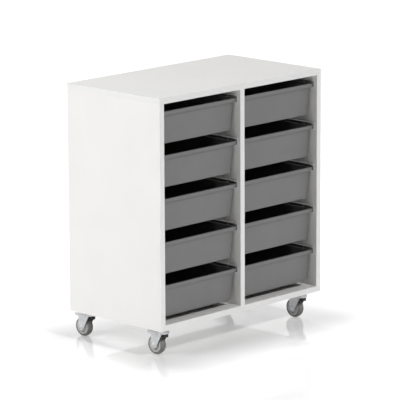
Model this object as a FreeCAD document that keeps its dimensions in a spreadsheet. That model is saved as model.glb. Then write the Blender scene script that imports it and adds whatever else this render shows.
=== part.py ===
"""Mobile classroom storage unit: a two-bay cabinet of ten sliding trays on four braked castors.

Millimetres.  The origin is on the floor under the middle of the whole unit, rear wheels
included, +X to the right, +Z up, and the open front faces -Y.  Every sub-part is bound to the
cells of one spreadsheet.
"""

import FreeCAD
import Part
import Sketcher

import math
import os
import re

# ---------------------------------------------------------------------------- driving sizes
SIZES = [
    # cabinet
    ("cabinet_width", 700.0, "over the side panels"),
    ("cabinet_depth", 390.0, "front edge to rear edge"),
    ("carcass_height", 700.0, "underside of base to top of top panel"),
    ("board", 18.0, "melamine-faced chipboard"),
    ("edging", 1.0, "plastic edging strip"),
    ("back_thickness", 8.0, "back panel"),
    ("back_inset", 10.0, "rear edge of the sides to the back panel"),
    ("groove_depth", 8.0, "groove that holds the back panel"),
    ("groove_fit", 0.2, "clearance on each face of the back panel"),
    ("groove_end_gap", 0.5, "clearance past each edge of the back panel"),
    ("dowel_diameter", 8.0, "fluted beech dowel"),
    ("dowel_in_face", 12.0, "dowel length in the face of a board"),
    ("dowel_in_end", 18.0, "dowel length in the end of a board"),
    ("dowel_spacing", 100.0, "between the three dowels of a joint"),
    ("dowel_end_gap", 0.5, "empty hole past each end of a dowel"),
    ("hole_fit", 0.05, "radial clearance of a hole on its dowel, screw or pin"),
    # trays
    ("top_gap", 27.0, "top panel to the rim of the highest trays"),
    ("base_gap", 17.0, "base panel to the bottom of the lowest trays"),
    ("tray_headroom", 32.5, "rim of a tray to the bottom of the tray above it"),
    ("tray_side_gap", 4.0, "tray rim to the wall of its bay"),
    ("tray_setback", 14.0, "front edge of the cabinet to the tray rim"),
    ("tray_rear_gap", 4.0, "tray rim to the back panel"),
    ("tray_wall", 2.0, "moulded wall"),
    ("tray_draft", 7.0, "taper of each side over the height"),
    ("tray_corner", 5.0, "outer radius of the upright corners"),
    ("tray_foot_radius", 3.0, "outer radius round the bottom"),
    ("rim_overhang", 5.0, "rim beyond the wall of the tray"),
    ("rim_drop", 10.5, "height of the turned-down rim"),
    ("rim_corner", 3.0, "outer radius of the rim corners"),
    ("rim_edge_radius", 1.2, "rounding along the top edge of the rim"),
    # runners
    ("runner_steel", 1.5, "wall of the channel"),
    ("runner_slot", 18.0, "height inside the channel"),
    ("runner_setback", 12.0, "front edge of the cabinet to the runner"),
    ("runner_rear_gap", 3.0, "runner to the back panel"),
    ("runner_body_gap", 0.5, "runner to the side of the tray"),
    ("runner_nose", 4.0, "rounding of the front corners of both flanges"),
    ("seat_gap", 0.3, "tray rim above the runner ledge"),
    ("runner_screw_inset", 40.0, "runner end to its nearest screw"),
    ("runner_screw_rise", 11.5, "screw above the runner ledge"),
    ("runner_screw_diameter", 3.5, "over the thread"),
    ("runner_screw_length", 10.0, "under the head"),
    ("runner_screw_head", 6.5, "head diameter"),
    ("runner_screw_cap", 1.8, "head height"),
    # castors
    ("castor_side_inset", 46.0, "outer face of the cabinet to the kingpin, across"),
    ("castor_end_inset", 39.0, "front or rear of the cabinet to the kingpin"),
    ("castor_trail", 25.0, "kingpin to axle"),
    ("wheel_diameter", 60.0, "over the tyre"),
    ("wheel_width", 20.0, "over the tyre"),
    ("tyre_shoulder", 2.5, "radius lost from the middle of the tread to its edge"),
    ("tyre_depth", 7.0, "thickness of the tyre at the middle of the tread"),
    ("tyre_fit", 0.05, "tyre bore over the wheel centre"),
    ("hub_rim", 5.0, "radial width of the raised rim of the wheel centre"),
    ("hub_dish", 4.5, "depth of the hollow in each face of the wheel centre"),
    ("hub_boss", 8.5, "radius of the raised boss of the wheel centre"),
    ("hub_slope", 1.0, "how far the walls of the hollow lean"),
    ("hub_recess", 0.6, "wheel centre inside the face of the tyre"),
    ("axle_diameter", 8.0, "shank of the rivet"),
    ("axle_play", 0.1, "radial running clearance of wheel and pedal on the axle"),
    ("axle_head", 6.5, "radius of the axle rivet's heads"),
    ("axle_head_height", 2.5, "head outside the leg"),
    ("fork_steel", 2.5, "pressed sheet"),
    ("fork_inside", 25.0, "between the legs"),
    ("fork_bend", 3.5, "outer radius from the web to the legs"),
    ("wheel_gap", 10.5, "top of the wheel to the web of the fork"),
    ("leg_end_radius", 10.8, "round lower end of a leg"),
    ("leg_front", 33.0, "axle to the top of the leg's front edge"),
    ("wing_rear", 26.0, "axle to the rear end of the fork"),
    ("wing_drop", 9.0, "depth of the fork's rear end"),
    ("wing_slope", 2.0, "how much deeper the wing is at the leg"),
    ("crown_radius", 19.0, "round head of the fork"),
    ("crown_drop", 5.5, "depth of the round head"),
    ("race_radius", 17.5, "outer radius of both bearing races"),
    ("race_height", 3.0, "lower race above the fork"),
    ("race_opening", 2.4, "between the races"),
    ("race_upper", 4.1, "upper race below the plate"),
    ("ball_diameter", 5.0, "ten in each bearing"),
    ("ball_circle", 13.0, "radius of the ring of balls"),
    ("ball_gap", 0.3, "clearance of a ball in its groove"),
    ("kingpin_diameter", 10.0, "shank between the heads"),
    ("kingpin_head", 8.0, "radius of both heads"),
    ("kingpin_head_height", 2.5, "lower head"),
    ("kingpin_top", 1.8, "height of the head sunk in the plate"),
    ("kingpin_seat", 0.3, "lower head below the web"),
    ("plate_size", 60.0, "square mounting plate"),
    ("plate_steel", 2.5, "pressed sheet"),
    ("plate_corner", 5.0, "corner radius"),
    ("plate_holes", 46.0, "between screw centres"),
    ("castor_screw_diameter", 5.0, "over the thread"),
    ("castor_screw_length", 12.0, "under the head, short of the back panel groove"),
    ("castor_screw_head", 9.0, "head diameter"),
    ("castor_screw_cap", 2.8, "head height"),
    ("screw_tip_gap", 0.2, "empty hole past the tip of a screw"),
    ("pedal_arm", 1.6, "thickness of each pedal arm"),
    ("pedal_side_gap", 0.6, "pedal arm to the wheel"),
    ("pedal_eye", 8.0, "radius of the pedal's eye on the axle"),
    ("pedal_lift", 6.0, "top of the pedal above the top of the wheel"),
    ("pedal_wheel_gap", 3.0, "pedal to the tread"),
    ("pedal_nose", 10.0, "tip of the tread plate beyond the wheel's radius"),
    ("pedal_face", 10.0, "height of the tread plate's front"),
    ("pedal_edge", 3.0, "height of the bevel along the tip"),
    ("pedal_bevel", 2.0, "depth of that bevel"),
    ("pedal_width", 16.0, "width of the tread plate"),
    ("pedal_arm_length", 8.0, "wheel's radius to the rear end of the arms' top edge"),
    ("pedal_lap", 1.0, "how far the tread plate and the arms run into each other"),
]

TIERS = 5
BALLS = 10
BAYS = {"left": -1, "right": 1}
CASTORS = {
    "front_left": (-1, -1),
    "front_right": (1, -1),
    "rear_left": (-1, 1),
    "rear_right": (1, 1),
}

doc = FreeCAD.newDocument("tray_storage_unit")
sheet = doc.addObject("Spreadsheet::Sheet", "sizes")
for row, (alias, value, note) in enumerate(SIZES, start=1):
    sheet.set(f"A{row}", alias)
    sheet.set(f"B{row}", str(value))
    sheet.setAlias(f"B{row}", alias)
    sheet.set(f"C{row}", note)
doc.recompute()


ALIASES = {alias for alias, _, _ in SIZES}


def qualified(name):
    return f"sizes.{name}" if name in ALIASES else name


def cell(formula):
    """Turn the size names in a formula into references to the sheet's cells."""
    return re.sub(r"[a-z_]{4,}", lambda name: qualified(name.group()), formula)


def number(formula):
    """The value of a formula at the present sizes."""
    result = sheet.evalExpression(cell(formula))
    return float(getattr(result, "Value", result))


# ---------------------------------------------------------------------------- derived places
HALF_WIDTH = "( cabinet_width / 2 )"
MIDDLE = "( ( castor_end_inset - castor_trail - wheel_diameter / 2 ) / 2 )"
FRONT = f"( {MIDDLE} - cabinet_depth / 2 )"
FORK_UNDER = "( wheel_diameter + wheel_gap )"
FORK_TOP = f"( {FORK_UNDER} + fork_steel )"
LOWER_RACE_TOP = f"( {FORK_TOP} + race_height )"
BALL_LEVEL = f"( {LOWER_RACE_TOP} + race_opening / 2 )"
PLATE_UNDER = f"( {LOWER_RACE_TOP} + race_opening + race_upper )"
CARCASS_BOTTOM = f"( {PLATE_UNDER} + plate_steel )"
INNER_HEIGHT = "( carcass_height - 2 * board )"
BAY_WIDTH = "( ( cabinet_width - 3 * board ) / 2 )"
BAY_CENTRE = f"( board / 2 + {BAY_WIDTH} / 2 )"
BAY_DEPTH = "( cabinet_depth - back_inset - back_thickness )"
TRAY_HEIGHT = f"( ( {INNER_HEIGHT} - top_gap - base_gap - {TIERS - 1} * tray_headroom ) / {TIERS} )"
TRAY_PITCH = f"( {TRAY_HEIGHT} + tray_headroom )"
RIM_WIDTH = f"( {BAY_WIDTH} - 2 * tray_side_gap )"
RIM_DEPTH = f"( {BAY_DEPTH} - tray_setback - tray_rear_gap )"
RUNNER_REACH = "( tray_side_gap + rim_overhang - runner_body_gap )"
RUNNER_LENGTH = f"( {BAY_DEPTH} - runner_setback - runner_rear_gap )"
WHEEL_RADIUS = "( wheel_diameter / 2 )"
HUB_RADIUS = f"( {WHEEL_RADIUS} - tyre_depth )"
LEG_OUTSIDE = "( fork_inside / 2 + fork_steel )"
ARM_INSIDE = "( wheel_width / 2 + pedal_side_gap )"
ARM_OUTSIDE = f"( {ARM_INSIDE} + pedal_arm )"


def rim_level(tier):
    """Height of a tray rim over the base panel's underside; tier 0 is the highest."""
    return f"( carcass_height - board - top_gap - {tier} * {TRAY_PITCH} )"


def ledge_level(tier):
    """Height of the runner ledge that carries the tray of a tier."""
    return f"( {rim_level(tier)} - rim_drop - seat_gap )"


# ---------------------------------------------------------------------------- building blocks
def new_body(label, x="0", y="0", z="0"):
    body = doc.addObject("PartDesign::Body", label)
    body.Label = label
    for axis, formula in zip("xyz", (x, y, z)):
        body.setExpression(f"Placement.Base.{axis}", cell(formula))
    return body


def sketch_on(body, name, plane, height="0"):
    """A sketch on one of the body's own origin planes, moved along that plane's normal."""
    sketch = body.newObject("Sketcher::SketchObject", f"{body.Name}_{name}")
    origin_plane = [item for item in body.Origin.OriginFeatures if item.Role == plane][0]
    sketch.AttachmentSupport = [(origin_plane, "")]
    sketch.MapMode = "FlatFace"
    sketch.setExpression("AttachmentOffset.Base.z", cell(height))
    return sketch


def fix(sketch, constraint_parts, formula):
    """Add a dimension to a sketch and bind it to a formula."""
    kind, *where = constraint_parts
    index = sketch.addConstraint(Sketcher.Constraint(kind, *where, number(formula)))
    sketch.setExpression(f"Constraints[{index}]", cell(formula))


def fix_point(sketch, geometry, end, x, y):
    """Hold one point of a sketch at a distance from its origin."""
    for axis, kind, formula in ((0, "DistanceX", x), (1, "DistanceY", y)):
        if formula == "0":
            rule = Sketcher.Constraint("PointOnObject", geometry, end, -2 + axis)
            sketch.addConstraint(rule)
        else:
            fix(sketch, (kind, -1, 1, geometry, end), formula)


def point(x, y):
    """A sketch point at the present value of two formulas."""
    return FreeCAD.Vector(number(x), number(y), 0)


def sketch_line(sketch, start, end):
    return sketch.addGeometry(Part.LineSegment(start, end))


def join(sketch, lines):
    """Make each line end where the following one starts."""
    for line, following in zip(lines, lines[1:]):
        sketch.addConstraint(Sketcher.Constraint("Coincident", line, 2, following, 1))


def outline(sketch, points):
    """A closed straight-sided outline; each point is a pair of formulas."""
    corners = [point(x, y) for x, y in points]
    closed = corners + corners[:1]
    lines = [sketch_line(sketch, start, end) for start, end in zip(closed, closed[1:])]
    join(sketch, lines + lines[:1])
    for line, (x, y) in zip(lines, points):
        fix_point(sketch, line, 1, x, y)
    return lines


def rectangle(sketch, left, low, right, high):
    return outline(sketch, [(left, low), (right, low), (right, high), (left, high)])


def circles(sketch, centres, radius):
    """Equal circles at a list of centres, each a pair of formulas."""
    first = None
    for x, y in centres:
        ring = Part.Circle(point(x, y), FreeCAD.Vector(0, 0, 1), number(radius))
        index = sketch.addGeometry(ring)
        fix_point(sketch, index, 3, x, y)
        if first is None:
            first = index
            fix(sketch, ("Radius", index), radius)
        else:
            sketch.addConstraint(Sketcher.Constraint("Equal", first, index))


def rounded_rectangle(sketch, width, depth, radius):
    """A rectangle about the sketch origin with its corners rounded."""
    half_x, half_y, corner = number(width) / 2, number(depth) / 2, number(radius)
    lines, arcs = [], []
    for turn in range(4):
        along, across = (half_x, half_y) if turn % 2 == 0 else (half_y, half_x)
        angle = turn * math.pi / 2
        spin = FreeCAD.Rotation(FreeCAD.Vector(0, 0, 1), math.degrees(angle))
        start = spin.multVec(FreeCAD.Vector(corner - along, -across, 0))
        end = spin.multVec(FreeCAD.Vector(along - corner, -across, 0))
        centre = spin.multVec(FreeCAD.Vector(along - corner, corner - across, 0))
        lines.append(sketch.addGeometry(Part.LineSegment(start, end)))
        full = Part.Circle(centre, FreeCAD.Vector(0, 0, 1), corner)
        arc = Part.ArcOfCircle(full, angle - math.pi / 2, angle)
        arcs.append(sketch.addGeometry(arc))
    for turn in range(4):
        following = (turn + 1) % 4
        rules = [
            Sketcher.Constraint("Tangent", lines[turn], 2, arcs[turn], 1),
            Sketcher.Constraint("Tangent", arcs[turn], 2, lines[following], 1),
            Sketcher.Constraint("Vertical" if turn % 2 else "Horizontal", lines[turn]),
        ]
        if turn:
            rules.append(Sketcher.Constraint("Equal", arcs[0], arcs[turn]))
        for rule in rules:
            sketch.addConstraint(rule)
    sketch.addConstraint(Sketcher.Constraint("Symmetric", arcs[0], 3, arcs[2], 3, -1, 1))
    fix(sketch, ("Radius", arcs[0]), radius)
    fix(sketch, ("DistanceX", lines[3], 1, lines[1], 1), width)
    fix(sketch, ("DistanceY", lines[0], 1, lines[2], 1), depth)


def extrude(body, kind, sketch, length, reverse=False, middle=False):
    """A Pad or a Pocket of a sketch; middle spreads the length over both sides."""
    feature = body.newObject(f"PartDesign::{kind}", f"{sketch.Name}_{kind}")
    feature.Profile = sketch
    feature.setExpression("Length", cell(length))
    feature.Reversed = reverse
    if middle:
        feature.SideType = "Symmetric"
    sketch.Visibility = False
    return feature


def revolve(body, kind, sketch, axis):
    """A full turn of a sketch about its own horizontal or vertical axis."""
    feature = body.newObject(f"PartDesign::{kind}", f"{sketch.Name}_{kind}")
    feature.Profile = sketch
    feature.ReferenceAxis = (sketch, [axis])
    feature.Angle = 360.0
    return feature


def fillet(body, feature, radius, chosen):
    """Round the edges of a feature that a test picks out."""
    doc.recompute()
    names = [f"Edge{i}" for i, edge in enumerate(feature.Shape.Edges, start=1) if chosen(edge)]
    if not names:
        raise RuntimeError(f"no edge to round on {feature.Name}")
    rounding = body.newObject("PartDesign::Fillet", f"{feature.Name}_fillet")
    rounding.Base = (feature, names)
    rounding.setExpression("Radius", cell(radius))
    return rounding


def box(name, length, width, height, x, y, z):
    """A plain strip or board, its lower front left corner at x, y, z."""
    piece = doc.addObject("Part::Box", name)
    for axis, formula in (("Length", length), ("Width", width), ("Height", height)):
        piece.setExpression(axis, cell(formula))
    for axis, formula in zip("xyz", (x, y, z)):
        piece.setExpression(f"Placement.Base.{axis}", cell(formula))
    return piece


def group(label, pieces):
    """One node of several separate solids."""
    compound = doc.addObject("Part::Compound", label)
    compound.Label = label
    compound.Links = pieces
    return compound


# ---------------------------------------------------------------------------- dowels and holes
DOWEL_ROW = [f"( cabinet_depth / 2 + {step} * dowel_spacing )" for step in (-1, 0, 1)]
DOWEL_HOLE = "( dowel_diameter / 2 + hole_fit )"
FACE_HOLE = "( dowel_in_face + dowel_end_gap )"
END_HOLE = "( dowel_in_end + dowel_end_gap )"
GROOVE_LOW = f"( {BAY_DEPTH} - groove_fit )"
GROOVE_HIGH = "( cabinet_depth - back_inset + groove_fit )"
SCREW_ROW = [
    "( runner_setback + runner_screw_inset )",
    f"( runner_setback + {RUNNER_LENGTH} - runner_screw_inset )",
]


def runner_screw_level(tier):
    return f"( {ledge_level(tier)} + runner_screw_rise )"


def bore_runner_screws(body, name, face, low, reverse):
    """Pilot holes for the runners of one wall; low is the height of the panel's lower end."""
    sketch = sketch_on(body, name, "YZ_Plane", face)
    places = [
        (along, f"( {runner_screw_level(tier)} - {low} )")
        for tier in range(TIERS)
        for along in SCREW_ROW
    ]
    circles(sketch, places, "( runner_screw_diameter / 2 + hole_fit )")
    depth = "( runner_screw_length - runner_steel + screw_tip_gap )"
    extrude(body, "Pocket", sketch, depth, reverse)


# ---------------------------------------------------------------------------- panels
def make_side_panel(label, side):
    """A side panel; its origin is at the lower front corner of its inner face."""
    inner_face = f"( {side} * ( {HALF_WIDTH} - board ) )"
    body = new_body(label, inner_face, FRONT, CARCASS_BOTTOM)
    outward = side < 0
    height = "( carcass_height - board )"
    plan = sketch_on(body, "face", "YZ_Plane")
    rectangle(plan, "edging", "0", "cabinet_depth", height)
    extrude(body, "Pad", plan, "board", reverse=outward)
    groove = sketch_on(body, "groove", "YZ_Plane")
    rectangle(groove, GROOVE_LOW, "0", GROOVE_HIGH, height)
    extrude(body, "Pocket", groove, "groove_depth", reverse=not outward)
    base_dowels = sketch_on(body, "base_dowels", "YZ_Plane")
    circles(base_dowels, [(y, "( board / 2 )") for y in DOWEL_ROW], DOWEL_HOLE)
    extrude(body, "Pocket", base_dowels, FACE_HOLE, reverse=not outward)
    top_dowels = sketch_on(body, "top_dowels", "XY_Plane", height)
    circles(top_dowels, [(f"( {side} * board / 2 )", y) for y in DOWEL_ROW], DOWEL_HOLE)
    extrude(body, "Pocket", top_dowels, END_HOLE)
    bore_runner_screws(body, "runner_screws", "0", "0", reverse=not outward)
    return body


def make_top_panel():
    """The top panel, over the sides and divider; its origin is below its front middle."""
    top = f"( {CARCASS_BOTTOM} + carcass_height - board )"
    body = new_body("top_panel", "0", FRONT, top)
    edge = f"( {HALF_WIDTH} - edging )"
    plan = sketch_on(body, "face", "XY_Plane")
    rectangle(plan, f"( - {edge} )", "edging", edge, "( cabinet_depth - edging )")
    extrude(body, "Pad", plan, "board")
    groove = sketch_on(body, "groove", "XY_Plane")
    groove_end = f"( {HALF_WIDTH} - board + groove_depth )"
    rectangle(groove, f"( - {groove_end} )", GROOVE_LOW, groove_end, GROOVE_HIGH)
    extrude(body, "Pocket", groove, "groove_depth", reverse=True)
    dowels = sketch_on(body, "dowels", "XY_Plane")
    rows = [f"( - {HALF_WIDTH} + board / 2 )", "0", f"( {HALF_WIDTH} - board / 2 )"]
    circles(dowels, [(x, y) for x in rows for y in DOWEL_ROW], DOWEL_HOLE)
    extrude(body, "Pocket", dowels, FACE_HOLE, reverse=True)
    return body


def make_base_panel():
    """The base panel, between the sides; its origin is below its front middle."""
    body = new_body("base_panel", "0", FRONT, CARCASS_BOTTOM)
    end = f"( {HALF_WIDTH} - board )"
    plan = sketch_on(body, "face", "XY_Plane")
    rectangle(plan, f"( - {end} )", "edging", end, "cabinet_depth")
    extrude(body, "Pad", plan, "board")
    groove = sketch_on(body, "groove", "XY_Plane", "board")
    rectangle(groove, f"( - {end} )", GROOVE_LOW, end, GROOVE_HIGH)
    extrude(body, "Pocket", groove, "groove_depth")
    divider_dowels = sketch_on(body, "divider_dowels", "XY_Plane", "board")
    circles(divider_dowels, [("0", y) for y in DOWEL_ROW], DOWEL_HOLE)
    extrude(body, "Pocket", divider_dowels, FACE_HOLE)
    for side, name in ((-1, "left_dowels"), (1, "right_dowels")):
        end_face = sketch_on(body, name, "YZ_Plane", f"( {side} * {end} )")
        circles(end_face, [(y, "( board / 2 )") for y in DOWEL_ROW], DOWEL_HOLE)
        extrude(body, "Pocket", end_face, END_HOLE, reverse=side < 0)
    screws = sketch_on(body, "castor_screws", "XY_Plane")
    places = [(x, f"( {y} - {FRONT} )") for x, y in castor_screw_places()]
    circles(screws, places, "( castor_screw_diameter / 2 + hole_fit )")
    depth = "( castor_screw_length - plate_steel + screw_tip_gap )"
    extrude(body, "Pocket", screws, depth, reverse=True)
    return body


def make_divider():
    """The upright panel between the bays; its origin is at the middle of its lower front."""
    low = "board"
    body = new_body("centre_divider", "0", FRONT, f"( {CARCASS_BOTTOM} + {low} )")
    plan = sketch_on(body, "face", "YZ_Plane")
    rectangle(plan, "edging", "0", BAY_DEPTH, INNER_HEIGHT)
    extrude(body, "Pad", plan, "board", middle=True)
    for name, height, reverse in (("top", INNER_HEIGHT, False), ("base", "0", True)):
        dowels = sketch_on(body, f"{name}_dowels", "XY_Plane", height)
        circles(dowels, [("0", y) for y in DOWEL_ROW], DOWEL_HOLE)
        extrude(body, "Pocket", dowels, END_HOLE, reverse)
    for side, name in ((-1, "left_screws"), (1, "right_screws")):
        bore_runner_screws(body, name, f"( {side} * board / 2 )", low, reverse=side < 0)
    return body


def make_back_panel():
    """The back panel, its edges in the grooves of the sides, base and top."""
    edge = f"( {HALF_WIDTH} - board + groove_depth - groove_end_gap )"
    height = f"( {INNER_HEIGHT} + 2 * groove_depth - 2 * groove_end_gap )"
    low = f"( {CARCASS_BOTTOM} + board - groove_depth + groove_end_gap )"
    front = f"( {FRONT} + {BAY_DEPTH} )"
    piece = box(
        "back_panel", f"( 2 * {edge} )", "back_thickness", height, f"( - {edge} )", front, low
    )
    piece.Label = "back_panel"
    return piece


def make_front_edging():
    """Strips along the front edges of the five boards."""
    top = f"( {CARCASS_BOTTOM} + carcass_height - board )"
    inner = f"( {HALF_WIDTH} - board )"
    side_height = "( carcass_height - board )"
    strips = [
        box("edge_top", "cabinet_width", "edging", "board", f"( - {HALF_WIDTH} )", FRONT, top),
        box(
            "edge_base", f"( 2 * {inner} )", "edging", "board",
            f"( - {inner} )", FRONT, CARCASS_BOTTOM,
        ),
        box(
            "edge_left", "board", "edging", side_height,
            f"( - {HALF_WIDTH} )", FRONT, CARCASS_BOTTOM,
        ),
        box("edge_right", "board", "edging", side_height, inner, FRONT, CARCASS_BOTTOM),
        box(
            "edge_divider", "board", "edging", INNER_HEIGHT,
            "( - board / 2 )", FRONT, f"( {CARCASS_BOTTOM} + board )",
        ),
    ]
    return group("front_edging", strips)


def make_top_edging():
    """Strips along the other three edges of the top panel."""
    top = f"( {CARCASS_BOTTOM} + carcass_height - board )"
    start = f"( {FRONT} + edging )"
    side_length = "( cabinet_depth - edging )"
    rear = f"( {FRONT} + cabinet_depth - edging )"
    core = "( cabinet_width - 2 * edging )"
    left = f"( - {HALF_WIDTH} )"
    strips = [
        box("edge_top_left", "edging", side_length, "board", left, start, top),
        box(
            "edge_top_right", "edging", side_length, "board",
            f"( {HALF_WIDTH} - edging )", start, top,
        ),
        box("edge_top_rear", core, "edging", "board", f"( {left} + edging )", rear, top),
    ]
    return group("top_edging", strips)


def make_dowels():
    """Three dowels in each of the six joints between the boards."""
    top = f"( {CARCASS_BOTTOM} + carcass_height - board )"
    base_top = f"( {CARCASS_BOTTOM} + board )"
    length = "( dowel_in_face + dowel_in_end )"
    side_middle = f"( {HALF_WIDTH} - board / 2 )"
    joints = [
        ("top_left", f"( - {side_middle} )", f"( {top} - dowel_in_end )", False),
        ("top_right", side_middle, f"( {top} - dowel_in_end )", False),
        ("top_divider", "0", f"( {top} - dowel_in_end )", False),
        ("base_divider", "0", f"( {base_top} - dowel_in_face )", False),
        (
            "base_left", f"( - {HALF_WIDTH} + board - dowel_in_face )",
            f"( {CARCASS_BOTTOM} + board / 2 )", True,
        ),
        (
            "base_right", f"( {HALF_WIDTH} - board - dowel_in_end )",
            f"( {CARCASS_BOTTOM} + board / 2 )", True,
        ),
    ]
    dowels = []
    for name, x, z, lying in joints:
        for place, y in enumerate(DOWEL_ROW):
            dowel = doc.addObject("Part::Cylinder", f"dowel_{name}_{place}")
            dowel.setExpression("Radius", cell("( dowel_diameter / 2 )"))
            dowel.setExpression("Height", cell(length))
            if lying:
                dowel.Placement.Rotation = FreeCAD.Rotation(FreeCAD.Vector(0, 1, 0), 90)
            for axis, formula in zip("xyz", (x, f"( {FRONT} + {y} )", z)):
                dowel.setExpression(f"Placement.Base.{axis}", cell(formula))
            dowels.append(dowel)
    return group("carcass_dowels", dowels)


# ---------------------------------------------------------------------------- runners
def make_runner(name, wall, y, z, hand):
    """One channel on a wall; its origin is at the wall, at the front of the ledge's top."""
    body = new_body(name, wall, y, z)
    reach = f"( {hand} * {RUNNER_REACH} )"
    web = f"( {hand} * runner_steel )"
    low = "( - runner_steel )"
    high = "( runner_slot + runner_steel )"
    section = sketch_on(body, "section", "XZ_Plane")
    outline(
        section,
        [
            ("0", low), (reach, low), (reach, "0"), (web, "0"),
            (web, "runner_slot"), (reach, "runner_slot"), (reach, high), ("0", high),
        ],
    )
    channel = extrude(body, "Pad", section, RUNNER_LENGTH, reverse=True)
    holes = sketch_on(body, "holes", "YZ_Plane", web)
    places = [
        ("runner_screw_inset", "runner_screw_rise"),
        (f"( {RUNNER_LENGTH} - runner_screw_inset )", "runner_screw_rise"),
    ]
    tip = number(reach)

    def front_corner(edge):
        middle = edge.CenterOfMass
        upright = edge.BoundBox.ZLength > edge.BoundBox.YLength
        return upright and middle.y < 1 and abs(middle.x - tip) < 0.01

    fillet(body, channel, "runner_nose", front_corner)
    circles(holes, places, "( runner_screw_diameter / 2 + hole_fit )")
    extrude(body, "Pocket", holes, "runner_steel", reverse=hand < 0)
    return body


def make_runner_pair(bay, tier):
    """The two channels that carry one tray."""
    side = BAYS[bay]
    level = f"( {CARCASS_BOTTOM} + {ledge_level(tier)} )"
    front = f"( {FRONT} + runner_setback )"
    channels = []
    for wall_name, hand in (("low_x", 1), ("high_x", -1)):
        wall = f"( {side} * {BAY_CENTRE} - {hand} * {BAY_WIDTH} / 2 )"
        name = f"channel_{bay}_{tier + 1}_{wall_name}"
        channels.append(make_runner(name, wall, front, level, hand))
    return group(f"runners_{bay}_{tier + 1}", channels)


# ---------------------------------------------------------------------------- screws
SCREW_TIP = 0.8       # length of the point, of the thread's diameter
TIP_BLUNTNESS = 0.1   # radius of the very tip, of the thread's
HEAD_ROUNDING = 0.6   # of the head's height
SLOT_LENGTH = 0.55    # of the head's diameter
SLOT_WIDTH = 0.13     # of the head's diameter
SLOT_DEPTH = 0.5      # of the head's height


def pan_head_screw(diameter, length, head_diameter, head_height):
    """A cross-recessed screw along +Z, with the underside of its head at the origin."""
    radius, tip_length = diameter / 2, diameter * SCREW_TIP
    shank_length = length - tip_length
    head = Part.makeCylinder(
        head_diameter / 2, head_height, FreeCAD.Vector(0, 0, -head_height)
    )
    rim = [edge for edge in head.Edges if abs(edge.CenterOfMass.z + head_height) < 0.01]
    head = head.makeFillet(head_height * HEAD_ROUNDING, rim)
    shank = Part.makeCylinder(radius, shank_length)
    tip = Part.makeCone(radius, radius * TIP_BLUNTNESS, tip_length, FreeCAD.Vector(0, 0, shank_length))
    slot_length, slot_width = head_diameter * SLOT_LENGTH, head_diameter * SLOT_WIDTH
    slot_depth = head_height * SLOT_DEPTH
    screw = head.fuse([shank, tip]).removeSplitter()
    for size_x, size_y in ((slot_length, slot_width), (slot_width, slot_length)):
        corner = FreeCAD.Vector(-size_x / 2, -size_y / 2, -head_height)
        screw = screw.cut(Part.makeBox(size_x, size_y, slot_depth, corner))
    return screw


def screw_group(label, screw, placements):
    """Equal screws as one node."""
    copies = []
    for placement in placements:
        copy = screw.copy()
        copy.Placement = placement
        copies.append(copy)
    feature = doc.addObject("Part::Feature", label)
    feature.Label = label
    feature.Shape = Part.makeCompound(copies)
    feature.Placement = FreeCAD.Placement()
    return feature


def make_runner_screws():
    """Two screws through the web of every runner into its wall."""
    screw = pan_head_screw(
        number("runner_screw_diameter"), number("runner_screw_length"),
        number("runner_screw_head"), number("runner_screw_cap"),
    )
    placements = []
    for side in BAYS.values():
        for hand in (1, -1):
            web = f"( {side} * {BAY_CENTRE} - {hand} * ( {BAY_WIDTH} / 2 - runner_steel ) )"
            into_wall = FreeCAD.Rotation(FreeCAD.Vector(0, 1, 0), -90 * hand)
            for tier in range(TIERS):
                level = number(f"( {CARCASS_BOTTOM} + {runner_screw_level(tier)} )")
                for along in SCREW_ROW:
                    place = FreeCAD.Vector(number(web), number(f"( {FRONT} + {along} )"), level)
                    placements.append(FreeCAD.Placement(place, into_wall))
    return screw_group("runner_screws", screw, placements)


def castor_place(across, along):
    """Formulas for the kingpin of the castor on one side and end."""
    x = f"( {across} * ( {HALF_WIDTH} - castor_side_inset ) )"
    y = f"( {MIDDLE} + {along} * ( cabinet_depth / 2 - castor_end_inset ) )"
    return x, y


def plate_hole_places(x, y):
    """The four screw holes of a plate about its kingpin."""
    return [
        (f"( {x} + {step_x} * plate_holes / 2 )", f"( {y} + {step_y} * plate_holes / 2 )")
        for step_x in (-1, 1)
        for step_y in (-1, 1)
    ]


def castor_screw_places():
    places = []
    for across, along in CASTORS.values():
        places += plate_hole_places(*castor_place(across, along))
    return places


def make_castor_screws():
    """Four screws up through each castor plate into the base panel."""
    screw = pan_head_screw(
        number("castor_screw_diameter"), number("castor_screw_length"),
        number("castor_screw_head"), number("castor_screw_cap"),
    )
    level = number(PLATE_UNDER)
    placements = [
        FreeCAD.Placement(FreeCAD.Vector(number(x), number(y), level), FreeCAD.Rotation())
        for x, y in castor_screw_places()
    ]
    return screw_group("castor_screws", screw, placements)


# ---------------------------------------------------------------------------- trays
def rim_section(body, name, height, outer_inset, outer_radius, inner_inset=None, inner_radius=None):
    """Rounded outlines a given distance inside the rim; a second one makes a ring."""
    sketch = sketch_on(body, name, "XY_Plane", height)
    outlines = [(outer_inset, outer_radius)]
    if inner_inset is not None:
        outlines.append((inner_inset, inner_radius))
    for inset, radius in outlines:
        width = f"( {RIM_WIDTH} - 2 * {inset} )"
        depth = f"( {RIM_DEPTH} - 2 * {inset} )"
        rounded_rectangle(sketch, width, depth, radius)
    return sketch


def faces_where(feature, test):
    """Names of the faces of a feature that a test picks out."""
    doc.recompute()
    return [f"Face{i}" for i, face in enumerate(feature.Shape.Faces, start=1) if test(face)]


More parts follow.
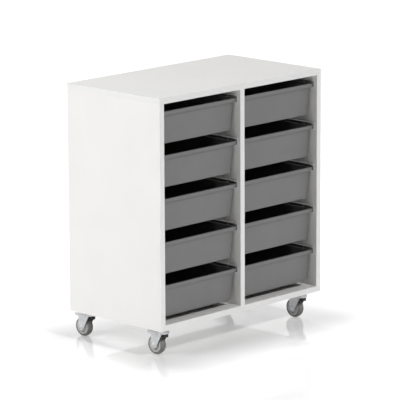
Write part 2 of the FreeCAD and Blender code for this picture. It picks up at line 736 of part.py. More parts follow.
def make_tray(bay, tier):
    """A moulded tray; its origin is in the middle of its underside."""
    label = f"tray_{bay}_{tier + 1}"
    level = f"( {CARCASS_BOTTOM} + {rim_level(tier)} - {TRAY_HEIGHT} )"
    middle = f"( {FRONT} + tray_setback + {RIM_DEPTH} / 2 )"
    body = new_body(label, f"( {BAYS[bay]} * {BAY_CENTRE} )", middle, level)

    foot = sketch_on(body, "foot", "XY_Plane")
    foot_x = f"( {RIM_WIDTH} / 2 - rim_overhang - tray_draft )"
    foot_y = f"( {RIM_DEPTH} / 2 - rim_overhang - tray_draft )"
    rectangle(foot, f"( - {foot_x} )", f"( - {foot_y} )", foot_x, foot_y)
    block = extrude(body, "Pad", foot, TRAY_HEIGHT)
    taper = body.newObject("PartDesign::Draft", f"{label}_taper")
    taper.Base = (block, faces_where(block, lambda face: face.BoundBox.ZLength > 1))
    taper.NeutralPlane = (foot.AttachmentSupport[0][0], [""])
    taper.setExpression("Angle", cell(f"atan( tray_draft / {TRAY_HEIGHT} )"))
    taper.Reversed = True

    def upright_edge(edge):
        return edge.BoundBox.ZLength > 1

    def low_edge(edge):
        return edge.BoundBox.ZMax < 0.01

    cornered = fillet(body, taper, "tray_corner", upright_edge)
    rounded = fillet(body, cornered, "tray_foot_radius", low_edge)
    top = number(TRAY_HEIGHT) - 0.01
    hollow = body.newObject("PartDesign::Thickness", f"{label}_hollow")
    hollow.Base = (rounded, faces_where(rounded, lambda face: face.BoundBox.ZMin > top))
    hollow.setExpression("Value", cell("tray_wall"))
    hollow.Reversed = True

    flange = rim_section(
        body, "flange", TRAY_HEIGHT, "0", "rim_corner",
        "( rim_overhang + tray_wall / 2 )", "( tray_corner - tray_wall / 2 )",
    )
    extrude(body, "Pad", flange, "tray_wall", reverse=True)
    lip = rim_section(
        body, "lip", TRAY_HEIGHT, "0", "rim_corner", "tray_wall", "( rim_corner - tray_wall )"
    )
    turned_down = extrude(body, "Pad", lip, "rim_drop", reverse=True)
    half_width = number(RIM_WIDTH) / 2 - 0.01
    half_depth = number(RIM_DEPTH) / 2 - 0.01

    def rim_edge(edge):
        bounds = edge.BoundBox
        outermost = (
            max(-bounds.XMin, bounds.XMax) > half_width
            or max(-bounds.YMin, bounds.YMax) > half_depth
        )
        return outermost and bounds.ZMin > top

    fillet(body, turned_down, "rim_edge_radius", rim_edge)
    return body


# ---------------------------------------------------------------------------- castors
def make_castor_plate(label, x, y):
    """The mounting plate with the upper race; its origin is on the floor below the kingpin."""
    body = new_body(label, x, y, "0")
    plate = sketch_on(body, "plate", "XY_Plane", PLATE_UNDER)
    rounded_rectangle(plate, "plate_size", "plate_size", "plate_corner")
    extrude(body, "Pad", plate, "plate_steel")
    race = sketch_on(body, "race", "XY_Plane", PLATE_UNDER)
    circles(race, [("0", "0")], "race_radius")
    extrude(body, "Pad", race, "race_upper", reverse=True)
    bore = sketch_on(body, "bore", "XY_Plane", f"( {PLATE_UNDER} + plate_steel )")
    circles(bore, [("0", "0")], "( kingpin_diameter / 2 + hole_fit )")
    extrude(body, "Pocket", bore, "( plate_steel + race_upper )")
    sink = sketch_on(body, "sink", "XY_Plane", f"( {PLATE_UNDER} + plate_steel )")
    circles(sink, [("0", "0")], "( kingpin_head + hole_fit )")
    extrude(body, "Pocket", sink, "( kingpin_top + hole_fit )")
    holes = sketch_on(body, "holes", "XY_Plane", f"( {PLATE_UNDER} + plate_steel )")
    circles(holes, plate_hole_places("0", "0"), "( castor_screw_diameter / 2 + hole_fit )")
    extrude(body, "Pocket", holes, "plate_steel")
    cut_ball_groove(body)
    return body


def cut_ball_groove(body):
    """The round groove that the balls run in."""
    groove = sketch_on(body, "ball_groove", "XZ_Plane")
    circles(groove, [("ball_circle", BALL_LEVEL)], "( ball_diameter / 2 + ball_gap )")
    return revolve(body, "Groove", groove, "V_Axis")


def make_fork(label, x, y):
    """The pressed fork: web, two legs, round head and lower race."""
    body = new_body(label, x, y, "0")
    side = sketch_on(body, "side", "YZ_Plane")
    axle = ("castor_trail", WHEEL_RADIUS)
    rear = "( castor_trail + wing_rear )"
    leg_rear = "( castor_trail + leg_end_radius )"
    wing_low = f"( {FORK_TOP} - wing_drop )"
    corner_low = f"( {wing_low} - wing_slope )"
    front = "( castor_trail - leg_front )"
    crown_low = f"( {FORK_TOP} - crown_drop )"
    points = [
        (leg_rear, WHEEL_RADIUS),
        (leg_rear, corner_low),
        (rear, wing_low),
        (rear, FORK_TOP),
        (front, FORK_TOP),
        (front, crown_low),
    ]
    corners = [point(a, b) for a, b in points]
    lines = [sketch_line(side, start, end) for start, end in zip(corners, corners[1:])]
    middle = point(*axle)
    radius = number("leg_end_radius")
    away = corners[-1] - middle
    swing = math.acos(radius / away.Length)
    touch = math.atan2(away.y, away.x) + swing
    ring = Part.Circle(middle, FreeCAD.Vector(0, 0, 1), radius)
    arc = side.addGeometry(Part.ArcOfCircle(ring, touch, 2 * math.pi))
    touch_point = middle + FreeCAD.Vector(math.cos(touch), math.sin(touch), 0) * radius
    slope = sketch_line(side, corners[-1], touch_point)
    join(side, lines + [slope])
    side.addConstraint(Sketcher.Constraint("Tangent", slope, 2, arc, 1))
    side.addConstraint(Sketcher.Constraint("Coincident", arc, 2, lines[0], 1))
    fix_point(side, arc, 3, *axle)
    fix(side, ("Radius", arc), "leg_end_radius")
    side.addConstraint(Sketcher.Constraint("Vertical", lines[0]))
    fix(side, ("DistanceY", -1, 1, lines[0], 1), WHEEL_RADIUS)
    fix(side, ("DistanceY", -1, 1, lines[1], 1), corner_low)
    for line, (a, b) in zip(lines[2:] + [slope], points[2:]):
        fix_point(side, line, 1, a, b)
    blank = extrude(body, "Pad", side, f"( 2 * {LEG_OUTSIDE} )", middle=True)
    top = number(FORK_TOP) - 0.01

    def long_top_edge(edge):
        bounds = edge.BoundBox
        return bounds.ZMin > top and bounds.YLength > bounds.XLength

    fillet(body, blank, "fork_bend", long_top_edge)
    crown = sketch_on(body, "crown", "XY_Plane", FORK_TOP)
    circles(crown, [("0", "0")], "crown_radius")
    extrude(body, "Pad", crown, "crown_drop", reverse=True)
    race = sketch_on(body, "race", "XY_Plane", FORK_TOP)
    circles(race, [("0", "0")], "race_radius")
    extrude(body, "Pad", race, "race_height")
    channel = sketch_on(body, "channel", "YZ_Plane")
    rectangle(
        channel, "( - kingpin_head - fork_steel )", "( - wheel_gap )",
        f"( {rear} + wheel_gap )", FORK_UNDER,
    )
    extrude(body, "Pocket", channel, "fork_inside", middle=True)
    bore = sketch_on(body, "bore", "XY_Plane", LOWER_RACE_TOP)
    circles(bore, [("0", "0")], "( kingpin_diameter / 2 + axle_play )")
    extrude(body, "Pocket", bore, "( race_height + fork_steel )")
    axle_holes = sketch_on(body, "axle_holes", "YZ_Plane")
    circles(axle_holes, [axle], "( axle_diameter / 2 + hole_fit )")
    extrude(body, "Pocket", axle_holes, f"( 3 * {LEG_OUTSIDE} )", middle=True)
    cut_ball_groove(body)
    return body


def make_swivel_bearing(label, name, x, y):
    """The kingpin, headed over at both ends, and the ring of balls round it."""
    pin = new_body(f"kingpin_{name}", x, y, "0")
    profile = sketch_on(pin, "profile", "XZ_Plane")
    shaft = "( kingpin_diameter / 2 )"
    low_head = f"( {FORK_UNDER} - kingpin_seat - kingpin_head_height )"
    low_seat = f"( {FORK_UNDER} - kingpin_seat )"
    top = f"( {PLATE_UNDER} + plate_steel - hole_fit )"
    top_seat = f"( {top} - kingpin_top )"
    outline(
        profile,
        [
            ("0", low_head), ("kingpin_head", low_head), ("kingpin_head", low_seat),
            (shaft, low_seat), (shaft, top_seat), ("kingpin_head", top_seat),
            ("kingpin_head", top), ("0", top),
        ],
    )
    revolve(pin, "Revolution", profile, "V_Axis")
    balls = []
    for place in range(BALLS):
        angle = 2 * math.pi * place / BALLS
        ball = doc.addObject("Part::Sphere", f"ball_{name}_{place}")
        ball.setExpression("Radius", cell("( ball_diameter / 2 )"))
        ball_x = f"( {x} + ball_circle * {math.cos(angle):.9f} )"
        ball_y = f"( {y} + ball_circle * {math.sin(angle):.9f} )"
        for axis, formula in zip("xyz", (ball_x, ball_y, BALL_LEVEL)):
            ball.setExpression(f"Placement.Base.{axis}", cell(formula))
        balls.append(ball)
    return group(label, [pin] + balls)


def make_axle(label, x, y):
    """The axle rivet, headed over outside both legs."""
    body = new_body(label, x, f"( {y} + castor_trail )", WHEEL_RADIUS)
    profile = sketch_on(body, "profile", "XZ_Plane")
    shaft = "( axle_diameter / 2 )"
    end = f"( {LEG_OUTSIDE} + axle_head_height )"
    crest = f"( {HEAD_ROUNDING} * axle_head )"
    outline(
        profile,
        [
            (f"( - {end} )", "0"), (f"( - {end} )", crest),
            (f"( - {LEG_OUTSIDE} )", "axle_head"), (f"( - {LEG_OUTSIDE} )", shaft),
            (LEG_OUTSIDE, shaft), (LEG_OUTSIDE, "axle_head"),
            (end, crest), (end, "0"),
        ],
    )
    revolve(body, "Revolution", profile, "H_Axis")
    return body


def make_wheel_centre(label, x, y):
    """The moulded wheel centre: rim, dished web and bored boss."""
    body = new_body(label, x, f"( {y} + castor_trail )", WHEEL_RADIUS)
    profile = sketch_on(body, "profile", "XZ_Plane")
    bore = "( axle_diameter / 2 + axle_play )"
    face = "( wheel_width / 2 - hub_recess )"
    boss_face = "( wheel_width / 2 )"
    dish = "( wheel_width / 2 - hub_dish )"
    rim_inner = f"( {HUB_RADIUS} - hub_rim )"
    half = [
        (boss_face, bore), (boss_face, "hub_boss"), (dish, "( hub_boss + hub_slope )"),
        (dish, f"( {rim_inner} - hub_slope )"), (face, rim_inner), (face, HUB_RADIUS),
    ]
    mirrored = [(f"( - {a} )", b) for a, b in reversed(half)]
    outline(profile, half + mirrored)
    revolve(body, "Revolution", profile, "H_Axis")
    return body


def make_tyre(label, x, y):
    """The soft tyre: flat sides and a crowned tread."""
    body = new_body(label, x, f"( {y} + castor_trail )", WHEEL_RADIUS)
    profile = sketch_on(body, "profile", "XZ_Plane")
    inner = f"( {HUB_RADIUS} + tyre_fit )"
    side = "( wheel_width / 2 )"
    shoulder = f"( {WHEEL_RADIUS} - tyre_shoulder )"
    other_side = f"( - {side} )"
    points = [(side, shoulder), (side, inner), (other_side, inner), (other_side, shoulder)]
    corners = [point(a, b) for a, b in points]
    lines = [sketch_line(profile, start, end) for start, end in zip(corners, corners[1:])]
    tread = profile.addGeometry(Part.Arc(corners[0], point("0", WHEEL_RADIUS), corners[3]))
    join(profile, lines)
    for line, (a, b) in zip(lines, points):
        fix_point(profile, line, 1, a, b)
    fix_point(profile, lines[2], 2, *points[3])
    profile.addConstraint(Sketcher.Constraint("Coincident", tread, 1, lines[0], 1))
    profile.addConstraint(Sketcher.Constraint("Coincident", tread, 2, lines[2], 2))
    bulge = f"( ( {side} * {side} + tyre_shoulder * tyre_shoulder ) / ( 2 * tyre_shoulder ) )"
    fix(profile, ("Radius", tread), bulge)
    revolve(body, "Revolution", profile, "H_Axis")
    return body


def make_pedal(label, x, y):
    """The brake pedal: an eye and an arm on each side of the wheel, a bridge and a tread plate."""
    body = new_body(label, x, f"( {y} + castor_trail )", WHEEL_RADIUS)
    top = f"( {WHEEL_RADIUS} + pedal_lift )"
    tread = f"( - {WHEEL_RADIUS} )"
    clear_of_tread = f"( {tread} - pedal_wheel_gap )"
    arm_points = [
        (f"( {tread} + pedal_arm_length )", top),
        (f"( {tread} - pedal_lap )", top),
        (clear_of_tread, WHEEL_RADIUS),
    ]
    side = sketch_on(body, "side", "YZ_Plane")
    corners = [point(a, b) for a, b in arm_points]
    radius = number("pedal_eye")
    touches = []
    for corner, turn in ((corners[0], -1), (corners[2], 1)):
        swing = math.acos(radius / corner.Length)
        touches.append(math.atan2(corner.y, corner.x) + turn * swing)
    ends = [FreeCAD.Vector(math.cos(a), math.sin(a), 0) * radius for a in touches]
    rear_line = sketch_line(side, ends[0], corners[0])
    top_line = sketch_line(side, corners[0], corners[1])
    nose_line = sketch_line(side, corners[1], corners[2])
    front_line = sketch_line(side, corners[2], ends[1])
    ring = Part.Circle(FreeCAD.Vector(0, 0, 0), FreeCAD.Vector(0, 0, 1), radius)
    eye = side.addGeometry(Part.ArcOfCircle(ring, touches[1], touches[0] + 2 * math.pi))
    join(side, [rear_line, top_line, nose_line, front_line])
    side.addConstraint(Sketcher.Constraint("Tangent", front_line, 2, eye, 1))
    side.addConstraint(Sketcher.Constraint("Tangent", eye, 2, rear_line, 1))
    side.addConstraint(Sketcher.Constraint("Coincident", eye, 3, -1, 1))
    fix(side, ("Radius", eye), "pedal_eye")
    for line, (a, b) in zip((top_line, nose_line, front_line), arm_points):
        fix_point(side, line, 1, a, b)
    extrude(body, "Pad", side, f"( 2 * {ARM_OUTSIDE} )", middle=True)
    space = sketch_on(body, "wheel_space", "YZ_Plane")
    circles(space, [("0", "0")], f"( {WHEEL_RADIUS} + pedal_wheel_gap )")
    extrude(body, "Pocket", space, f"( 2 * {ARM_INSIDE} )", middle=True)
    plate = sketch_on(body, "tread_plate", "YZ_Plane")
    outline(
        plate,
        [
            (f"( {tread} + pedal_lap )", top),
            (f"( {tread} - pedal_nose + pedal_bevel )", top),
            (f"( {tread} - pedal_nose )", f"( {top} - pedal_edge )"),
            (f"( {tread} - pedal_nose + pedal_lap )", f"( {top} - pedal_face )"),
            (clear_of_tread, f"( {top} - pedal_face - pedal_lap )"),
            (f"( {tread} + pedal_lap )", f"( {WHEEL_RADIUS} - pedal_lap )"),
        ],
    )
    extrude(body, "Pad", plate, "pedal_width", middle=True)
    eyes = sketch_on(body, "eyes", "YZ_Plane")
    circles(eyes, [("0", "0")], "( axle_diameter / 2 + axle_play )")
    extrude(body, "Pocket", eyes, f"( 3 * {ARM_OUTSIDE} )", middle=True)
    return body


# ---------------------------------------------------------------------------- the whole unit
parts = [
    make_top_panel(),
    make_base_panel(),
    make_side_panel("left_side_panel", -1),
    make_side_panel("right_side_panel", 1),
    make_divider(),
    make_back_panel(),
    make_front_edging(),
    make_top_edging(),
    make_dowels(),
    make_runner_screws(),
    make_castor_screws(),
]
for bay in BAYS:
    for tier in range(TIERS):
        parts.append(make_runner_pair(bay, tier))
        parts.append(make_tray(bay, tier))
for name, (across, along) in CASTORS.items():
    x, y = castor_place(across, along)
    parts.append(make_castor_plate(f"castor_plate_{name}", x, y))
    parts.append(make_fork(f"castor_fork_{name}", x, y))
    parts.append(make_swivel_bearing(f"swivel_bearing_{name}", name, x, y))
    parts.append(make_axle(f"axle_{name}", x, y))
    parts.append(make_wheel_centre(f"wheel_centre_{name}", x, y))
    parts.append(make_tyre(f"tyre_{name}", x, y))
    parts.append(make_pedal(f"brake_pedal_{name}", x, y))

doc.recompute()

# ---------------------------------------------------------------------------- checks and export
for item in doc.Objects:
    faults = [state for state in item.State if state in ("Invalid", "Error")]
    if faults:
        raise RuntimeError(f"{item.Name} is {faults[0]}")
    if item.TypeId in ("PartDesign::Pocket", "PartDesign::Groove"):
        if item.Shape.Volume > item.BaseFeature.Shape.Volume - 0.1:
            raise RuntimeError(f"{item.Name} removes nothing")
for item in parts:
    if item.Shape.isNull() or not item.Shape.isValid() or not item.Shape.Solids:
        raise RuntimeError(f"{item.Label} has no sound shape")

os.makedirs("parts", exist_ok=True)
for item in parts:
    item.Shape.exportStep(f"parts/{item.Label}.step")
print(f"{len(parts)} nodes written")
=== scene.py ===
import math

import bmesh
import bpy
from bpy.props import FloatProperty, FloatVectorProperty, IntProperty, PointerProperty
from mathutils import Matrix, Vector


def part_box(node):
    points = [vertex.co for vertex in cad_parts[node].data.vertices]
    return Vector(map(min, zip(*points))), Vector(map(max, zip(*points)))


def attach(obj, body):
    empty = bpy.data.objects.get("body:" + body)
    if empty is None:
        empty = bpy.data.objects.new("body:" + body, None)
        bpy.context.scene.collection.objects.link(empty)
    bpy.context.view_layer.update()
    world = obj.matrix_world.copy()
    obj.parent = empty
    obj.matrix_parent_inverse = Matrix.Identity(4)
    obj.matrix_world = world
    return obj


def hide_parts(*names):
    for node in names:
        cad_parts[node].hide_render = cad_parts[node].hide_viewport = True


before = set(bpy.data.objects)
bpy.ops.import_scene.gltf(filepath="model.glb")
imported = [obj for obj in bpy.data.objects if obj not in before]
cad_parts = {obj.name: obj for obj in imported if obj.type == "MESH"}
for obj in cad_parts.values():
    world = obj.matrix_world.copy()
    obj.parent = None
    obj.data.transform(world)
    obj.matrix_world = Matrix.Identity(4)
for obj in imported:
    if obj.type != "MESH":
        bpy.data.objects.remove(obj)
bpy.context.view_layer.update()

bl_info = {
    "name": "Tray Storage Unit",
    "version": (1, 0, 0),
    "blender": (4, 5, 0),
    "location": "3D View > Sidebar > Tray Unit",
    "description": "Finishes a mobile cabinet of sliding trays round its engineering model",
    "category": "Object",
}

MM = 0.001
LEVELS = [f"{bay}_{tier}" for bay in ("left", "right") for tier in range(1, 6)]
CORNERS = ("front_left", "front_right", "rear_left", "rear_right")
PANELS = (
    "top_panel", "base_panel", "left_side_panel", "right_side_panel",
    "centre_divider", "back_panel",
)

# Angles between neighbouring faces, in degrees.
FLAT_BELOW = 0.4      # taken for one flat face
CRISP_ABOVE = 32      # stays a crisp edge on a copy of an engineering node
TURNED_CRISP_ABOVE = 35
MOULDED_CRISP_ABOVE = 30
ARRIS_ABOVE = 40      # rounded by a bevel
ARC_STEPS = 5         # pieces of each rounded corner in a tray's section

# Recess under a tray's floor.
RECESS_DEPTH = 0.5 * MM
RECESS_BORDER = 14 * MM      # from the foot of the wall
RECESS_STEP = 1 * MM
RECESS_FLAT = 6 * MM
TIGHT = 0.4 * MM             # rounding of the rim's lower edge
MELT_WELD = 0.01 * MM        # points of a moulding nearer than this are one

# Screws in runners and castor plates.
RUNNER_STEEL = 1.5 * MM
RUNNER_SCREW_INSET = 40 * MM
RUNNER_SCREW_RISE = 13 * MM
RUNNER_SCREW = {
    "Head Diameter": 6.5 * MM, "Head Height": 1.8 * MM,
    "Shank Diameter": 3.5 * MM, "Length": 10 * MM,
}
PLATE_STEEL = 2.5 * MM
PLATE_SCREW_INSET = 7 * MM
PLATE_SCREW_TURN = 0.35      # radians, of the cross in the head
PLATE_SCREW = {
    "Head Diameter": 9 * MM, "Head Height": 2.8 * MM,
    "Shank Diameter": 5 * MM, "Length": 12 * MM,
}

# Tyres.
TYRE_DEPTH = 7 * MM
TREAD_CROWN = 2.5 * MM       # radius lost from the middle of the tread to its edge
TREAD_STEPS = 16
TYRE_ARRIS_ACROSS = 0.5 * MM
TYRE_ARRIS_DOWN = 1.2 * MM
WHEEL_ARRIS = 0.3 * MM
PEDAL_ARRIS = 0.5 * MM

# Stage, in metres.
FLOOR_IOR = 1.5       # polished acrylic sheet
FLOOR_ROUGHNESS = 0.03
FLOOR_REACH = 8.0     # half its length and width
FLOOR_BOUNCE = (0.88, 0.88, 0.88, 1.0)
# Under and near the object, the floor seen by the camera glows less than in the open. This paints
# a shade round the object, and the distance below sets how far out that painted shade fades to
# white.
FLOOR_GLOW_IN_PAINTED_SHADE = 0.28     # paleness of the floor under the object, beyond what the lamps give
OPEN_GLOW = 0.68      # the same in the open, where the floor turns white
PAINTED_SHADE_END = 0.26       # beyond the footprint, over which it turns white
TABLE_LIGHT = 0.46    # light through the floor round the object, as from a light table
TABLE_EDGE = 0.15     # beyond the footprint, over which that light comes up
SUN_SPREAD = 5.0      # degrees
SOFTBOX_SIZE = 1.6
LAMP_TARGET = Vector((0, 0, 0.4))
WHITE = (1, 1, 1, 1)
CAMERA_PLACE = (-6.6227, -6.4617, 2.4076)
CAMERA_RIGHT = Vector((0.69627, -0.71776, -0.00461))
CAMERA_UP = Vector((0.15539, 0.14446, 0.97723))
CAMERA_LENS = 279.35         # millimetres
CAMERA_SENSOR = 36.0         # millimetres


# ------------------------------------------------------------------ colours and small helpers
def linear(hex_colour):
    """An sRGB hex colour as linear red, green, blue and alpha."""
    values = [int(hex_colour[i:i + 2], 16) / 255 for i in (1, 3, 5)]
    curve = [v / 12.92 if v <= 0.04045 else ((v + 0.055) / 1.055) ** 2.4 for v in values]
    return (*curve, 1.0)


def box_size(node):
    """Lowest corner, highest corner and size of an engineering node."""
    low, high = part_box(node)
    return low, high, high - low


def add_node(tree, kind, inputs=None, **settings):
    """Adds a node; an input is given a value, or is linked where the value is an output socket."""
    made = tree.nodes.new(kind)
    for name, value in settings.items():
        setattr(made, name, value)
    for name, value in (inputs or {}).items():
        if isinstance(value, bpy.types.NodeSocket):
            tree.links.new(value, made.inputs[name])
        else:
            made.inputs[name].default_value = value
    return made


def new_object(name, mesh):
    made = bpy.data.objects.new(name, mesh)
    bpy.context.scene.collection.objects.link(made)
    return made


def smooth(mesh, degrees):
    """Shades smoothly, with the edges sharper than an angle kept crisp."""
    mesh.shade_smooth()
    mesh.set_sharp_from_angle(angle=math.radians(degrees))


def face_outwards(mesh):
    shell = bmesh.new()
    shell.from_mesh(mesh)
    bmesh.ops.remove_doubles(shell, verts=shell.verts, dist=1e-6)
    bmesh.ops.recalc_face_normals(shell, faces=shell.faces)
    shell.to_mesh(mesh)
    shell.free()


def finish_piece(piece, body, node):
    """Hands a piece over to the body it rides on, and hides the node it stands for."""
    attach(piece, body)
    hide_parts(node)


def part_solids(shell):
    """Parts solids that share an edge, so that each is rounded by itself."""
    waiting = set(shell.faces)
    while waiting:
        solid, found = [], [waiting.pop()]
        while found:
            face = found.pop()
            solid.append(face)
            for edge in face.edges:
                if len(edge.link_faces) == 2:
                    joined = waiting.intersection(edge.link_faces)
                    waiting -= joined
                    found += joined
        bmesh.ops.split(shell, geom=solid, use_only_faces=True)


def refined_node(node, name, material, body, bevel=0.0, segments=2):
    """A merged, smoothly shaded copy of a node, its hard edges rounded by a bevel."""
    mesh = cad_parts[node].data.copy()
    mesh.name = name
    shell = bmesh.new()
    shell.from_mesh(mesh)
    bmesh.ops.remove_doubles(shell, verts=shell.verts, dist=1e-6)
    if any(len(edge.link_faces) > 2 for edge in shell.edges):
        part_solids(shell)
    flat = math.radians(FLAT_BELOW)
    bmesh.ops.dissolve_limit(shell, angle_limit=flat, verts=shell.verts, edges=shell.edges)
    shell.to_mesh(mesh)
    shell.free()
    smooth(mesh, CRISP_ABOVE)
    mesh.materials.clear()
    mesh.materials.append(material)
    piece = new_object(name, mesh)
    if bevel:
        rounding = piece.modifiers.new("arris", "BEVEL")
        rounding.width = bevel
        rounding.segments = segments
        rounding.limit_method = "ANGLE"
        rounding.angle_limit = math.radians(ARRIS_ABOVE)
        rounding.harden_normals = True
        rounding.use_clamp_overlap = True
    finish_piece(piece, body, node)


# ------------------------------------------------------------------ settings
class TrayUnitSizes(bpy.types.PropertyGroup):
    """Sizes a maker would change."""

    tray_wall: FloatProperty(
        name="Tray wall", description="Thickness of the moulded wall",
        default=2.0 * MM, min=1.0 * MM, max=4.0 * MM, unit="LENGTH",
    )
    tray_draft: FloatProperty(
        name="Tray draft", description="Taper of each side over the tray's height",
        default=7.0 * MM, unit="LENGTH",
    )
    tray_corner: FloatProperty(
        name="Tray corner", description="Outer radius of the upright corners",
        default=5.0 * MM, unit="LENGTH",
    )
    tray_foot: FloatProperty(
        name="Tray foot", description="Outer radius round the bottom of a tray",
        default=3.0 * MM, unit="LENGTH",
    )
    rim_overhang: FloatProperty(
        name="Rim overhang", description="Rim beyond the wall of the tray",
        default=5.0 * MM, unit="LENGTH",
    )
    rim_drop: FloatProperty(
        name="Rim drop", description="Height of the turned-down rim",
        default=10.5 * MM, unit="LENGTH",
    )
    rim_corner: FloatProperty(
        name="Rim corner", description="Outer radius of the rim's corners",
        default=3.0 * MM, unit="LENGTH",
    )
    rim_edge: FloatProperty(
        name="Rim edge", description="Rounding of the rim's upper edges",
        default=1.2 * MM, unit="LENGTH",
    )
    corner_steps: IntProperty(
        name="Corner steps", description="Faces round each upright corner of a tray",
        default=8, min=3, max=32,
    )
    board_arris: FloatProperty(
        name="Edging arris", description="Rounding of the edging strips",
        default=0.4 * MM, unit="LENGTH",
    )
    steel_arris: FloatProperty(
        name="Steel arris", description="Rounding of the edges of pressed steel",
        default=0.3 * MM, unit="LENGTH",
    )
    wheel_steps: IntProperty(
        name="Wheel steps", description="Faces round a wheel",
        default=96, min=24, max=256,
    )


def colour_property(name, description, hex_colour):
    return FloatVectorProperty(
        name=name, description=description, subtype="COLOR", size=4,
        min=0.0, max=1.0, default=linear(hex_colour),
    )


class TrayUnitColours(bpy.types.PropertyGroup):
    """Colours a maker would change."""

    melamine: colour_property("Melamine", "Faces of the boards", "#F0EFED")
    edging: colour_property("Edging", "Strips along the boards' edges", "#EDEDEC")
    polypropylene: colour_property("Trays", "Moulded trays", "#737373")
    powder_coat: colour_property("Runners", "Coated tray runners", "#ABABAA")
    zinc: colour_property("Zinc plate", "Forks, plates, axles and screws", "#CDCED0")
    bearing: colour_property("Bearing steel", "Balls and kingpin", "#B9BABD")
    tyre: colour_property("Tyre", "Soft tread", "#787775")
    wheel_centre: colour_property("Wheel centre", "Moulded wheel centre", "#C6C6C5")
    pedal: colour_property("Brake pedal", "Moulded brake pedal", "#151515")
    beech: colour_property("Beech", "Dowels in the joints", "#CDA676")
    floor: colour_property("Floor", "Studio floor", "#C7C7C7")


# ------------------------------------------------------------------ materials
def start_material(name):
    """A new material with its shader and the object's own coordinates in metres."""
    material = bpy.data.materials.new(name)
    material.use_nodes = True
    tree = material.node_tree
    tree.nodes.clear()
    output = add_node(tree, "ShaderNodeOutputMaterial")
    shader = add_node(tree, "ShaderNodeBsdfPrincipled")
    tree.links.new(shader.outputs["BSDF"], output.inputs["Surface"])
    place = add_node(tree, "ShaderNodeTexCoord").outputs["Object"]
    return material, tree, shader, place


def grain(tree, place, period, detail=2.0, stretch=(1.0, 1.0, 1.0)):
    """Noise whose blotches are about a period apart, in metres, along each axis."""
    scale = tuple(s / period for s in stretch)
    spread = add_node(tree, "ShaderNodeMapping", {"Vector": place, "Scale": scale})
    noise = add_node(
        tree, "ShaderNodeTexNoise",
        {"Vector": spread.outputs["Vector"], "Scale": 1.0, "Detail": detail, "Roughness": 0.55},
    )
    return noise.outputs["Fac"]


def between(tree, amount, low, high, low_in=0.3, high_in=0.7):
    """Turns a pattern into values between two numbers."""
    ranged = add_node(
        tree, "ShaderNodeMapRange",
        {"Value": amount, "From Min": low_in, "From Max": high_in, "To Min": low, "To Max": high},
    )
    return ranged.outputs["Result"]


def tinted(tree, amount, colour, darker, lighter):
    """A colour whose brightness a pattern shifts between two factors."""
    low = tuple(c * darker for c in colour[:3]) + (1.0,)
    high = tuple(min(c * lighter, 1.0) for c in colour[:3]) + (1.0,)
    factor = between(tree, amount, 0.0, 1.0)
    mixed = add_node(
        tree, "ShaderNodeMix", {"Factor": factor, 6: low, 7: high}, data_type="RGBA"
    )
    return mixed.outputs[2]


def relief(tree, shader, height, strength, distance):
    """Raises a pattern from the surface; distance is its real height in metres."""
    bump = add_node(
        tree, "ShaderNodeBump", {"Height": height, "Strength": strength, "Distance": distance}
    )
    tree.links.new(bump.outputs["Normal"], shader.inputs["Normal"])


def melamine(colour):
    """Melamine-faced chipboard, pressed on satin plates: a hard, faintly pebbled white face
    with a slow change of tone across a board."""
    material, tree, shader, place = start_material("melamine_satin")
    tone = grain(tree, place, 120 * MM)
    tree.links.new(tinted(tree, tone, colour, 0.985, 1.01), shader.inputs["Base Color"])
    # The pressed pearl is about 0.5 mm, drawn at 1.6 mm so that it shows.
    pearl = grain(tree, place, 1.6 * MM, detail=1.0)
    tree.links.new(between(tree, pearl, 0.36, 0.5), shader.inputs["Roughness"])
    relief(tree, shader, pearl, 0.25, 0.05 * MM)
    shader.inputs["IOR"].default_value = 1.53
    return material


def edging_strip(colour):
    """ABS edging, extruded and buffed: smoother than the board's face, with a slow change
    of tone along the strip."""
    material, tree, shader, place = start_material("abs_edging")
    tone = grain(tree, place, 37.5 * MM)
    tree.links.new(tinted(tree, tone, colour, 0.985, 1.01), shader.inputs["Base Color"])
    buffed = grain(tree, place, 2.2 * MM, detail=1.0)
    tree.links.new(between(tree, buffed, 0.28, 0.38), shader.inputs["Roughness"])
    relief(tree, shader, buffed, 0.15, 0.04 * MM)
    shader.inputs["IOR"].default_value = 1.54
    return material


def tray_polypropylene(colour):
    """Polypropylene, injection moulded in a spark-eroded tool: an even matt grain, slightly
    cloudy where the melt flowed."""
    material, tree, shader, place = start_material("polypropylene_grained")
    cloud = grain(tree, place, 70 * MM, detail=3.0)
    tree.links.new(tinted(tree, cloud, colour, 0.965, 1.03), shader.inputs["Base Color"])
    # The eroded grain is about 0.2 mm, drawn at 1.2 mm so that it shows.
    eroded = grain(tree, place, 1.2 * MM, detail=2.0)
    tree.links.new(between(tree, eroded, 0.34, 0.48), shader.inputs["Roughness"])
    relief(tree, shader, eroded, 0.35, 0.06 * MM)
    shader.inputs["IOR"].default_value = 1.49
    return material


def runner_powder_coat(colour):
    """Polyester powder coat on rolled steel: satin, with the soft orange peel of the cured
    film."""
    material, tree, shader, place = start_material("powder_coat")
    tone = grain(tree, place, 40 * MM)
    tree.links.new(tinted(tree, tone, colour, 0.98, 1.01), shader.inputs["Base Color"])
    peel = grain(tree, place, 2.5 * MM, detail=1.0)
    tree.links.new(between(tree, peel, 0.3, 0.4), shader.inputs["Roughness"])
    relief(tree, shader, peel, 0.3, 0.08 * MM)
    shader.inputs["Coat Weight"].default_value = 0.15
    shader.inputs["Coat Roughness"].default_value = 0.2
    return material


